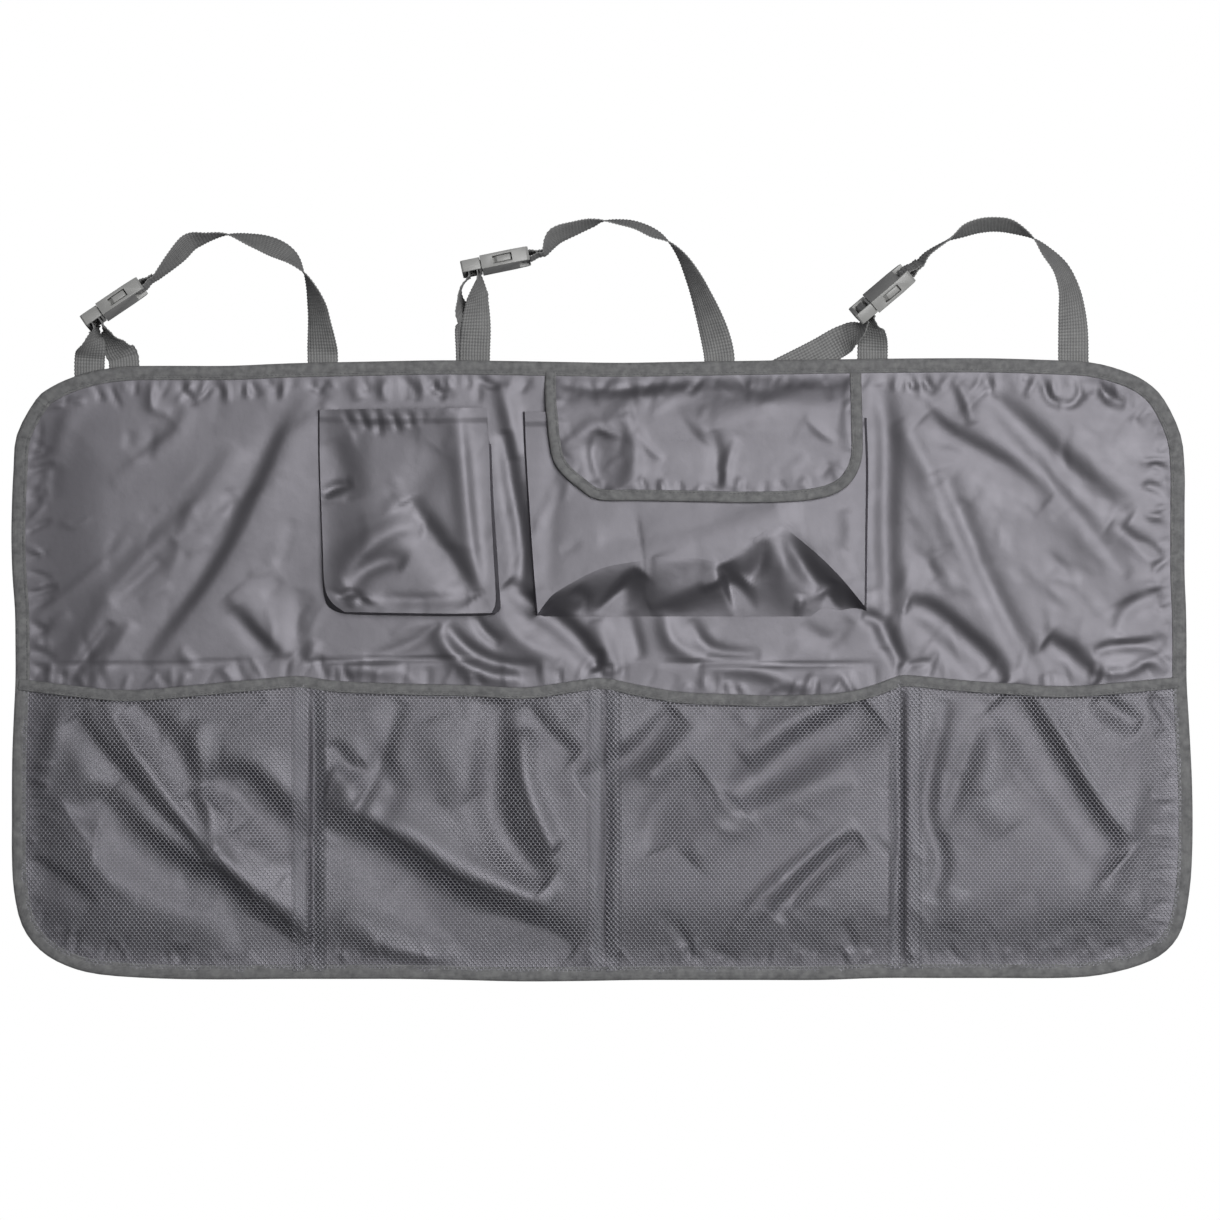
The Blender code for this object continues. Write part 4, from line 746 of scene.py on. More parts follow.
class Graph:
    """A material's node graph with one Principled shader."""

    def __init__(self, name: str) -> None:
        self.material = bpy.data.materials.new(name)
        self.material.use_nodes = True
        self.tree = self.material.node_tree
        self.shader = self.tree.nodes["Principled BSDF"]

    def add(self, kind: str, settings: dict | None = None, **inputs) -> bpy.types.Node:
        """Adds a node, sets its properties and sets or links its inputs.

        Args:
            kind: Blender's node type.
            settings: node properties by name.
            **inputs: values or output sockets by input name, spaces as underscores.

        Returns:
            The new node.
        """
        node = self.tree.nodes.new(kind)
        for key, value in (settings or {}).items():
            setattr(node, key, value)
        for key, value in inputs.items():
            self.feed(node, key.replace("_", " "), value)
        return node

    def feed(self, node: bpy.types.Node, name: str | int, value: object) -> None:
        """Sets an input to a value, or links it from an output socket."""
        socket = node.inputs[name]
        if isinstance(value, bpy.types.NodeSocket):
            self.tree.links.new(value, socket)
        else:
            socket.default_value = value

    def set(self, **inputs) -> None:
        """Sets or links inputs of the Principled shader."""
        for key, value in inputs.items():
            self.feed(self.shader, key.replace("_", " "), value)

    def position(self) -> bpy.types.NodeSocket:
        """Places in metres, in the row's frame."""
        return self.add("ShaderNodeTexCoord").outputs["Object"]

    def along_cloth(self) -> bpy.types.NodeSocket:
        """Places on the cloth itself, in metres, from the piece's own map."""
        return self.add("ShaderNodeUVMap", {"uv_map": "cloth"}).outputs["UV"]

    def waves(
        self, place: bpy.types.NodeSocket, pitch_mm: float, axis: str, distortion: float = 0.0
    ) -> bpy.types.NodeSocket:
        """Threads at a pitch across an axis, from 0 to 1."""
        node = self.add(
            "ShaderNodeTexWave",
            {"wave_type": "BANDS", "bands_direction": axis, "wave_profile": "SIN"},
            Vector=place,
            Scale=math.pi / 10 / (pitch_mm * MM),
            Distortion=distortion,
        )
        return node.outputs["Fac"]

    def noise(
        self, place: bpy.types.NodeSocket, size_mm: float, detail: float = 3.0, roughness: float = 0.5
    ) -> bpy.types.NodeSocket:
        """Cloudy variation of a size, from 0 to 1."""
        node = self.add(
            "ShaderNodeTexNoise",
            Vector=place,
            Scale=1 / (size_mm * MM),
            Detail=detail,
            Roughness=roughness,
        )
        return node.outputs["Fac"]

    def math(self, operation: str, a: object, b: object = 0.0) -> bpy.types.NodeSocket:
        """One step of arithmetic."""
        node = self.add("ShaderNodeMath", {"operation": operation})
        self.feed(node, 0, a)
        self.feed(node, 1, b)
        return node.outputs[0]

    def span(self, value: bpy.types.NodeSocket, low: float, high: float) -> bpy.types.NodeSocket:
        """A 0 to 1 value spread between two numbers."""
        node = self.add("ShaderNodeMapRange", Value=value, To_Min=low, To_Max=high)
        return node.outputs["Result"]

    def blend(
        self, share: bpy.types.NodeSocket, a: tuple[float, ...], b: tuple[float, ...]
    ) -> bpy.types.NodeSocket:
        """A colour between two colours."""
        node = self.add("ShaderNodeMix", {"data_type": "RGBA"})
        self.feed(node, 0, share)
        self.feed(node, 6, a)
        self.feed(node, 7, b)
        return node.outputs[2]

    def bump(self, height: bpy.types.NodeSocket, depth_mm: float) -> bpy.types.NodeSocket:
        """A surface bumped by a height from 0 to 1."""
        node = self.add("ShaderNodeBump", Height=height, Distance=depth_mm * MM, Strength=1.0)
        return node.outputs["Normal"]


@dataclass(frozen=True)
class CoatedCloth:
    """Thin plain-woven polyester, dyed grey, with a slightly glossy face."""

    name: str = "woven_polyester_coated"
    light: str = "8a888e"
    dark: str = "7e7c82"
    roughness: float = 0.54
    thread_mm: float = 0.55

    def make(self) -> bpy.types.Material:
        """Builds the material: cloudy tone, fine threads and crushed creases."""
        g = Graph(self.name)
        place = g.position()
        cloud = g.noise(place, 70.0, 4.0)
        g.set(Base_Color=g.blend(cloud, linear(self.dark), linear(self.light)))
        g.set(Roughness=g.span(g.noise(place, 18.0, 3.0), self.roughness - 0.05, self.roughness + 0.06))
        g.set(Metallic=0.85, Specular_IOR_Level=0.55)
        warp = g.waves(place, self.thread_mm, "X")
        weft = g.waves(place, self.thread_mm, "Y")
        threads = g.math("MAXIMUM", warp, weft)
        crush = g.noise(place, 9.0, 4.0, 0.55)
        height = g.math("ADD", g.math("MULTIPLY", threads, 0.04), crush)
        g.set(Normal=g.bump(height, 0.15))
        return g.material


@dataclass(frozen=True)
class NetYarn:
    """Knitted polyester yarn of the net, a little shiny."""

    name: str = "knitted_polyester_net"
    light: str = "b4b3ba"
    dark: str = "9a99a0"
    roughness: float = 0.52

    def make(self) -> bpy.types.Material:
        """Builds the material: uneven tone and the twist of the yarn."""
        g = Graph(self.name)
        place = g.position()
        g.set(Base_Color=g.blend(g.noise(place, 24.0, 3.0), linear(self.dark), linear(self.light)))
        g.set(Roughness=self.roughness, Specular_IOR_Level=0.5, Metallic=0.75)
        twist = g.noise(place, 0.5, 2.0)
        g.set(Normal=g.bump(twist, 0.12))
        return g.material


@dataclass(frozen=True)
class WovenTape:
    """Ribbed binding tape, dull, with cross threads along its run."""

    name: str = "woven_binding_tape"
    light: str = "b0b0b0"
    dark: str = "5a5a5d"
    roughness: float = 0.62
    rib_mm: float = 0.7

    def make(self) -> bpy.types.Material:
        """Builds the material: cross ribs, edge threads and rubbed patches."""
        g = Graph(self.name)
        cloth = g.along_cloth()
        place = g.position()
        cloud = g.noise(place, 5.0, 4.0)
        g.set(Base_Color=g.blend(cloud, linear(self.dark), linear(self.light)))
        g.set(Roughness=g.span(g.noise(place, 6.0), self.roughness - 0.08, self.roughness + 0.08))
        g.set(Specular_IOR_Level=0.45, Sheen_Weight=0.12)
        ribs = g.waves(cloth, self.rib_mm, "X")
        long = g.waves(cloth, self.rib_mm * 1.6, "Y")
        height = g.math("ADD", g.math("MULTIPLY", ribs, 0.5), g.math("MULTIPLY", long, 0.2))
        height = g.math("ADD", height, g.math("MULTIPLY", g.noise(place, 4.0, 3.0), 0.9))
        g.set(Normal=g.bump(height, 0.45))
        return g.material


@dataclass(frozen=True)
class Webbing:
    """Heavy ribbed polypropylene webbing."""

    name: str = "woven_polypropylene_webbing"
    light: str = "a6a6a5"
    dark: str = "6a6a6b"
    roughness: float = 0.58

    def make(self) -> bpy.types.Material:
        """Builds the material: yarn bundles along and across the webbing."""
        g = Graph(self.name)
        cloth = g.along_cloth()
        place = g.position()
        yarns = g.waves(cloth, 2.2, "Y", 0.6)
        tone = g.math("MULTIPLY", g.math("ADD", yarns, g.noise(place, 9.0)), 0.5)
        g.set(Base_Color=g.blend(tone, linear(self.dark), linear(self.light)))
        g.set(Roughness=self.roughness, Specular_IOR_Level=0.5, Sheen_Weight=0.1)
        fine = g.math("ADD", yarns, g.math("MULTIPLY", g.noise(cloth, 0.8, 2.0), 0.25))
        g.set(Normal=g.bump(fine, 0.18))
        return g.material


@dataclass(frozen=True)
class MouldedPlastic:
    """Injection-moulded acetal with a fine spark-eroded face."""

    name: str = "moulded_acetal"
    light: str = "c0c0be"
    dark: str = "a2a2a0"
    roughness: float = 0.30

    def make(self) -> bpy.types.Material:
        """Builds the material: faint flow tone and a fine grain."""
        g = Graph(self.name)
        place = g.position()
        g.set(Base_Color=g.blend(g.noise(place, 12.0), linear(self.dark), linear(self.light)))
        g.set(Roughness=g.span(g.noise(place, 2.0), self.roughness - 0.05, self.roughness + 0.07))
        g.set(Specular_IOR_Level=0.5)
        g.set(Normal=g.bump(g.noise(place, 0.45, 2.0), 0.03))
        return g.material


@dataclass(frozen=True)
class Pile:
    """Hook and loop tape."""

    name: str = "hook_and_loop_pile"
    light: str = "5c5c60"
    dark: str = "3c3c40"

    def make(self) -> bpy.types.Material:
        """Builds the material: a deep, rough pile."""
        g = Graph(self.name)
        place = g.position()
        loops = g.noise(place, 0.8, 3.0)
        g.set(Base_Color=g.blend(loops, linear(self.dark), linear(self.light)))
        g.set(Roughness=0.9, Sheen_Weight=0.3)
        g.set(Normal=g.bump(loops, 0.6))
        return g.material


@dataclass(frozen=True)
class SewingThread:
    """Twisted polyester thread."""

    name: str = "twisted_sewing_thread"
    light: str = "8a8a8c"
    dark: str = "5f5f62"

    def make(self) -> bpy.types.Material:
        """Builds the material: the thread's twist and sheen."""
        g = Graph(self.name)
        place = g.position()
        twist = g.noise(place, 0.6, 2.0)
        g.set(Base_Color=g.blend(twist, linear(self.dark), linear(self.light)))
        g.set(Roughness=0.55, Sheen_Weight=0.2)
        g.set(Normal=g.bump(twist, 0.1))
        return g.material


@dataclass
class Finishes:
    """Every material of the object, built once."""

    cloth: bpy.types.Material = field(default_factory=CoatedCloth().make)
    net: bpy.types.Material = field(default_factory=NetYarn().make)
    tape: bpy.types.Material = field(default_factory=WovenTape().make)
    webbing: bpy.types.Material = field(default_factory=Webbing().make)
    plastic: bpy.types.Material = field(default_factory=MouldedPlastic().make)
    pile: bpy.types.Material = field(default_factory=Pile().make)
    thread: bpy.types.Material = field(default_factory=SewingThread().make)


def dress(
    obj: bpy.types.Object,
    material: bpy.types.Material,
    surface: Surface,
    replaces: Sequence[str] = (),
) -> bpy.types.Object:
    """Gives a piece its material, its body and the nodes it stands for."""
    obj.data.materials.clear()
    obj.data.materials.append(material)
    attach(obj, "root")
    if replaces:
        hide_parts(*replaces)
    return obj


class Ground:
    """Heights of the panel and of the net that lies over it."""

    BASE = 0.0060
    PUFF = 0.0045
    EDGE = 0.0012
    STRAP_LIFT = 0.0030
    CELL = 0.0012

    def __init__(self) -> None:
        self.outline = smooth_route(OUTLINE, 3, closed=True) * MM
        self.mouth = smooth_route(MOUTH, 4) * MM
        inner_line = self.inset(self.outline, 0.0104)
        edge_mm = np.vstack([inner_line, inner_line[:1]]) / MM
        upper = puckers(3, edge_mm, 9.0, (7.0, 24.0), 1.5)
        chance = scatter(5, 150, (-435, 5), (435, 225), 48.0, 28.0, (12, 46), 0.6, (2.5, 6.0))
        chance += scatter(6, 90, (230, 5), (435, 225), -50.0, 20.0, (14, 46), 0.42, (2.5, 6.0))
        chance += scatter(7, 170, (-435, -225), (435, -15), -40.0, 34.0, (12, 40), 0.8, (2.5, 6.0))
        mouth_mm = self.mouth[::-1] / MM + (0.0, 2.0)
        above = puckers(8, mouth_mm[::-1], 13.0, (6.0, 18.0), 1.2)
        self.relief = Relief([*UPPER_FOLDS, *LOWER_FOLDS, *upper, *above])
        self.wrinkles = Relief(chance)
        self.corner = self.outline.min(0) - 0.006
        extent = self.outline.max(0) + 0.006 - self.corner
        columns, rows = (int(v / self.CELL) + 2 for v in extent)
        xs = self.corner[0] + np.arange(columns) * self.CELL
        ys = self.corner[1] + np.arange(rows) * self.CELL
        self.heights, self.depths, self.tauts = self.shape(*np.meshgrid(xs, ys))

    @staticmethod
    def inset(line: Array, depth: float) -> Array:
        """A closed line drawn inwards, the line running anticlockwise."""
        run = directions(line, closed=True)
        return line + left_of(run) * depth

    def edge_lift(self, y: Array) -> Array:
        """How far the sewn strap ends hold the top edge up."""
        return self.STRAP_LIFT * smoothstep(TOP - 0.073, TOP - 0.022, y)

    def shape(self, x: Array, y: Array) -> tuple[Array, Array, Array]:
        """Height of the panel, distance from its edge and height of a cloth taut over it."""
        depth = clearance(self.outline, x, y)
        free = smoothstep(0.006, 0.022, depth)
        base = self.EDGE + (self.BASE - self.EDGE) * smoothstep(0.006, 0.075, depth)
        puff = self.PUFF * smoothstep(0.0, 0.05, self.mouth_y(x) - y)
        base = base + puff * smoothstep(0.006, 0.060, depth)
        relief = self.relief(x, y)
        floor = self.BASE * 0.94 + puff
        relief = np.where(relief < 0, -floor * np.tanh(-relief / floor), relief)
        smooth = base + self.edge_lift(y)
        height = smooth + free * (relief + self.wrinkles(x, y))
        return np.maximum(height, 0.0006), depth, smooth + 0.42 * free * relief

    def panel(self, x: Array, y: Array) -> Array:
        """Height of the panel's face."""
        return self.read(self.heights, x, y)

    def taut(self, x: Array, y: Array) -> Array:
        """Height of a cloth that bridges the panel's folds."""
        return self.read(self.tauts, x, y)

    def depth(self, x: Array, y: Array) -> Array:
        """Distance from the panel's edge, positive inside it."""
        return self.read(self.depths, x, y)

    def read(self, table: Array, x: Array, y: Array) -> Array:
        """Value of a table at places between its own."""
        column = np.clip((x - self.corner[0]) / self.CELL, 0, table.shape[1] - 1.001)
        row = np.clip((y - self.corner[1]) / self.CELL, 0, table.shape[0] - 1.001)
        i, j = row.astype(int), column.astype(int)
        v, u = row - i, column - j
        low = table[i, j] * (1 - u) + table[i, j + 1] * u
        high = table[i + 1, j] * (1 - u) + table[i + 1, j + 1] * u
        return low * (1 - v) + high * v

    def mouth_y(self, x: Array) -> Array:
        """Height on the panel of the net's upper edge."""
        return np.interp(x, self.mouth[:, 0], self.mouth[:, 1])


GROUND_CELL = 2.1 * MM


class Panel:
    """The back panel as one sheet, its cut edge hidden in the binding."""

    def __init__(self, ground: Ground, finishes: Finishes) -> None:
        self.ground = ground
        self.finishes = finishes

    def build(self) -> bpy.types.Object:
        """Makes the sheet.

        Returns:
            The panel's piece.
        """
        low, high = self.ground.outline.min(0), self.ground.outline.max(0)
        xs = np.arange(low[0], high[0] + GROUND_CELL, GROUND_CELL)
        ys = np.arange(low[1], high[1] + GROUND_CELL, GROUND_CELL)
        x, y = np.meshgrid(xs, ys)
        x, y = x.ravel(), y.ravel()
        quads = grid_quads(len(ys), len(xs))
        centre_x, centre_y = x[quads].mean(1), y[quads].mean(1)
        quads = quads[self.ground.depth(centre_x, centre_y) > 0.0025]
        points, quads, uv = keep_used(np.stack([x, y], 1), quads, np.stack([x, y], 1))
        z = self.ground.panel(points[:, 0], points[:, 1])
        obj = build_mesh("panel_cloth", np.column_stack([points, z]), quads, uv)
        dress(obj, self.finishes.cloth, Surface.CLOTH, ["back_panel"])
        return obj


def swept(
    name: str, line: Array, inner: Array, depths: Array, level: Callable[[int, Array, Array], Array],
    closed: bool,
) -> bpy.types.Object:
    """A strip that follows a line, its points spread inwards from it.

    Args:
        name: the piece's name.
        line: places along its outer edge, in metres.
        inner: unit directions inwards at those places.
        depths: how far inwards each point of the section lies, in metres.
        level: height of a section point, from its number and the points' places.
        closed: whether the line comes back to its start.

    Returns:
        The strip's object.
    """
    points = []
    for k, depth in enumerate(depths):
        x = line[:, 0] + inner[:, 0] * depth
        y = line[:, 1] + inner[:, 1] * depth
        points.append(np.stack([x, y, level(k, x, y)], axis=1))
    grid = np.stack(points, axis=1)
    along = travelled(line)
    uv = np.stack(np.broadcast_arrays(along[:, None], np.array(depths)[None, :]), axis=-1)
    quads = grid_quads(len(line), len(depths), closed)
    return build_mesh(name, grid.reshape(-1, 3), quads, uv.reshape(-1, 2))


@dataclass(frozen=True)
class Tape:
    """Binding tape folded over a cloth's edge and stitched near its inner side."""

    width: float
    thickness: float = 0.0009
    stitch_share: float = 0.82
    spacing: float = 0.0016
    wave_sizes: tuple[float, ...] = (0.034, 0.019, 0.011, 0.007)
    wave_share: float = 0.012

    def section(self) -> list[tuple[float, float, bool]]:
        """Depth, lift and whether it follows the cloth's face, from inside to underneath."""
        w, t = self.width, self.thickness
        return [
            (w, 0.0000, True),
            (w + 0.0001, 0.6 * t, True),
            (w - 0.0004, 1.1 * t, True),
            (w * 0.90, 1.25 * t, True),
            (w * self.stitch_share, 0.85 * t, True),
            (w * 0.72, 1.35 * t, True),
            (w * 0.52, 1.7 * t, True),
            (w * 0.32, 1.75 * t, True),
            (w * 0.16, 1.5 * t, True),
            (w * 0.06, 0.9 * t, True),
            (0.0, 0.0, True),
            (0.0001, -0.7 * t, True),
            (w * 0.05, -0.2 * t, False),
            (w * 0.5, 0.0, False),
            (w, 0.0, False),
        ]

    def fold(
        self, name: str, line: Array, face: Height, back: Height, closed: bool, seed: int
    ) -> bpy.types.Object:
        """Folds the tape over an edge.

        Args:
            name: the piece's name.
            line: the edge, the cloth on its left, in metres.
            face: height of the cloth's face.
            back: height of the cloth's back.
            closed: whether the edge comes back to its start.
            seed: start of the chance row for its small waves.

        Returns:
            The tape's object.
        """
        path = resample(line, self.spacing, closed)
        run = directions(path, closed)
        inner = left_of(run)
        rng = np.random.default_rng(seed)
        count = len(path)
        wave = np.zeros(count)
        share = np.arange(count) / count
        length = count * self.spacing
        for size in self.wave_sizes:
            turns = round(length / (size * rng.uniform(0.9, 1.1)))
            phase = rng.uniform(0, 2 * math.pi)
            envelope = 0.6 + 0.4 * np.sin(2 * math.pi * (share * turns * 0.31) + phase * 2)
            wave += envelope * np.sin(2 * math.pi * share * turns + phase) * size
        wave *= self.wave_share
        section = self.section()

        def level(k: int, x: Array, y: Array) -> Array:
            """Height of one row of the tape."""
            depth, lift, upper = section[k]
            if upper:
                crown = math.sin(math.pi * min(depth / self.width, 1.0)) ** 0.7
                return face(x, y) + lift + wave * (0.25 + crown)
            return np.maximum(back(x, y) - lift, 0.0)

        depths = np.array([d for d, _, _ in section])
        return swept(name, path, inner, depths, level, closed)

    def stitches(
        self, name: str, line: Array, face: Height, closed: bool, pitch: float = 0.0031
    ) -> bpy.types.Object:
        """The row of stitches along the tape's inner side."""
        path = resample(line, pitch, closed)
        run = directions(path, closed)
        inner = left_of(run)
        places = path + inner * self.width * self.stitch_share
        z = face(places[:, 0], places[:, 1]) + 0.95 * self.thickness
        return stitch_mesh(name, np.column_stack([places, z]), run, pitch)


def stitch_mesh(name: str, places: Array, run: Array, pitch: float) -> bpy.types.Object:
    """Short thread lengths, one for each place, lying along its run."""
    half, radius = pitch * 0.36, 0.00028
    ring = np.array([(math.cos(a), math.sin(a)) for a in np.linspace(0, 2 * math.pi, 7)[:-1]])
    stations = [
        (-1.0, 0.25, -0.9), (-0.75, 0.9, 0.0), (0.0, 1.0, 0.35), (0.75, 0.9, 0.0), (1.0, 0.25, -0.9)
    ]
    side = np.stack([-run[:, 1], run[:, 0], np.zeros(len(run))], axis=1)
    ahead = np.column_stack([run, np.zeros(len(run))])
    points = []
    for along, size, lift in stations:
        for c, s in ring:
            points.append(
                places
                + ahead * (along * half)
                + side * (c * radius * size)
                + np.array([0, 0, (s * size + lift) * radius])
            )
    grid = np.stack(points, axis=1)
    rows, sides = len(stations), len(ring)
    quads = []
    for i in range(rows - 1):
        for j in range(sides):
            nxt = (j + 1) % sides
            quads.append((i * sides + j, i * sides + nxt, (i + 1) * sides + nxt, (i + 1) * sides + j))
    base = np.arange(len(places))[:, None, None] * (rows * sides)
    faces = (base + np.array(quads)[None]).reshape(-1, 4)
    return build_mesh(name, grid.reshape(-1, 3), faces)


class Bindings:
    """The tape round the panel's edge and its stitching."""

    def __init__(self, ground: Ground, finishes: Finishes) -> None:
        self.ground = ground
        self.finishes = finishes
        self.tape = Tape(width=0.0107)

    def build(self) -> bpy.types.Object:
        """Makes the edge binding and its stitches.

        Returns:
            The binding's piece.
        """
        ground = self.ground

        def back(x: Array, y: Array) -> Array:
            """Height of the panel's back along its edge."""
            return ground.edge_lift(y) + 0.0 * x

        line = ground.outline
        binding = self.tape.fold("edge_tape", line, ground.panel, back, True, 21)
        dress(binding, self.finishes.tape, Surface.TAPE, ["edge_binding"])
        thread = self.tape.stitches("edge_stitches", line, ground.panel, True)
        dress(thread, self.finishes.thread, Surface.TAPE)
        return binding


class NetCloth:
    """The net: four pockets of hexagonal mesh, pleats at the seams and its top tape."""

    PITCH = 0.0033
    STRAND = 0.00068
    SQUEEZE = 0.72
    SEAM_RISE = 0.0009
    LOOSE_RISE = 0.0042
    DROP = 0.232
    LEAST_SHARE = 0.301

    def __init__(self, ground: Ground, finishes: Finishes) -> None:
        self.ground = ground
        self.finishes = finishes
        relief = scatter(31, 120, (-435, -215), (435, -20), -45.0, 40.0, (14, 44), 0.9, (3.0, 7.0))
        self.own = Relief(relief)
        self.bounds = (-0.4470, *SEAMS, 0.4470)

    def gap(self, x: Array, y: Array) -> Array:
        """Distance of the net from the panel, loose between its seams."""
        away = np.min([np.abs(x - s) for s in SEAMS], axis=0)
        depth = self.ground.depth(x, y)
        drop = self.ground.mouth_y(x) - y
        loose = smoothstep(0.0, 0.05, away) * smoothstep(0.008, 0.04, depth)
        loose = loose * (0.55 + 0.45 * np.exp(-((drop / 0.05) ** 2)))
        return self.SEAM_RISE + self.LOOSE_RISE * loose

    def height(self, x: Array, y: Array) -> Array:
        """Height of the net's strands."""
        gap = self.gap(x, y)
        own = self.own(x, y) * np.clip((gap - self.SEAM_RISE) / self.LOOSE_RISE, 0, 1)
        lowest = self.ground.panel(x, y) + self.SEAM_RISE
        return np.maximum(self.ground.taut(x, y) + np.maximum(gap + own, 0.0005), lowest)

    def lattice(
        self, name: str, left: float, right: float, lift: float = 0.0, phase: float = 0.0
    ) -> tuple[bpy.types.Object, float]:
        """Hexagonal mesh between two heights on the panel's length.

        Args:
            name: the piece's name.
            left: its left side, in metres.
            right: its right side, in metres.
            lift: extra height over the net's own surface.
            phase: share of a cell that its pattern is moved by.

        Returns:
            The piece and its strands' flat area in square metres.
        """
        pitch, row_step = self.PITCH, self.PITCH * math.sqrt(3) / 2 * self.SQUEEZE
        low = self.ground.outline[:, 1].min()
        high = self.ground.mouth[:, 1].max()
        rows = np.arange(int((high - low) / row_step) + 2)
        columns = np.arange(int((right - left) / pitch) + 2)
        row, column = np.meshgrid(rows, columns, indexing="ij")
        cx = left + (column + (row % 2) * 0.5 + phase) * pitch
        cy = low + (row + phase) * row_step
        keep = (cx > left) & (cx < right)
        keep &= cy < self.ground.mouth_y(cx) - 0.0030
        keep &= self.ground.depth(cx, cy) > 0.0065
        cx, cy = cx[keep], cy[keep]
        angles = np.radians(np.arange(6) * 60 + 30)
        outer = pitch / math.sqrt(3)
        inner = outer - self.STRAND / math.sqrt(3)
        ring = np.stack([np.cos(angles), np.sin(angles)], axis=1)
        stretch = np.array([1.0, self.SQUEEZE])
        corner = np.stack([cx, cy], 1)[:, None, :] + ring[None] * outer * stretch
        hole = np.stack([cx, cy], 1)[:, None, :] + ring[None] * inner * stretch
        keys = np.round(corner.reshape(-1, 2) / (pitch * 0.02)).astype(np.int64)
        _, first, index = np.unique(keys, axis=0, return_index=True, return_inverse=True)
        index = index.reshape(-1, 6)
        shared = corner.reshape(-1, 2)[first]
        holes = hole.reshape(-1, 2)
        flat = np.vstack([shared, holes])
        n = len(shared)
        inside_index = n + np.arange(len(holes)).reshape(-1, 6)
        nxt = np.roll(np.arange(6), -1)
        quads = np.stack(
            [index, index[:, nxt], inside_index[:, nxt], inside_index], axis=-1
        ).reshape(-1, 4)
        z = self.height(flat[:, 0], flat[:, 1]) + lift
        z[:n] += 0.00030
        obj = build_mesh(name, np.column_stack([flat, z]), quads, flat)
        a, b, c, d = (flat[quads[:, k]] for k in range(4))
        area = float((spread(b - a, c - a) + spread(c - a, d - a)).sum() / 2)
        return obj, area

    def build(self) -> list[bpy.types.Object]:
        """Makes the four pockets, the pleats and the tape.

        Returns:
            The net's pieces.
        """
        pieces = []
        names = ("far_left", "left", "right", "far_right")
        for name, left, right in zip(names, self.bounds, self.bounds[1:]):
            piece, area = self.lattice(f"net_{name}", left, right)
            dress(piece, self.finishes.net, Surface.NET, ["mesh_net"])
            pieces.append(piece)
        for number, seam in enumerate(SEAMS):
            for side in (-1, 1):
                left, right = sorted((seam + side * 0.0015, seam + side * 0.0125))
                name = f"net_pleat_{number}_{'left' if side < 0 else 'right'}"
                piece, area = self.lattice(name, left, right, 0.0009, 0.37)
                dress(piece, self.finishes.net, Surface.NET)
                pieces.append(piece)
        tape = Tape(width=0.0085)
        line = self.ground.mouth[::-1]
        back, face = moved(self.height, -0.0006), moved(self.height, 0.0002)
        binding = tape.fold("net_top_tape", line, face, back, False, 22)
        nodes = [f"{name}_net_binding" for name in names]
        dress(binding, self.finishes.tape, Surface.TAPE, nodes)
        thread = tape.stitches("net_top_stitches", line, face, False)
        dress(thread, self.finishes.thread, Surface.TAPE)
        return [*pieces, binding]


@dataclass(frozen=True)
class PocketCut:
    """Shape of one box pocket as it lies.

    Args:
        name: start of its CAD nodes' names.
        left: its left side downwards, in millimetres.
        right: its right side downwards, in millimetres.
        base: its front's lower edge from left to right, in millimetres.
        foot: how far its gusset reaches out at the left, bottom and right, in metres.
        foot_y: where the gusset meets the panel below, in metres.
        mouth: height of its front at the mouth, in metres.
        deep: height of its front lower down, in metres.
        bow: how much its middle stands over its sides, in metres.
        tilt: how much its right side stands over its left, in metres.
        folds: its front's folds.
    """

    name: str
    left: Route
    right: Route
    base: Route
    foot: tuple[float, float, float]
    foot_y: float
    mouth: float
    deep: float
    bow: float
    tilt: float
    folds: tuple[Fold, ...]


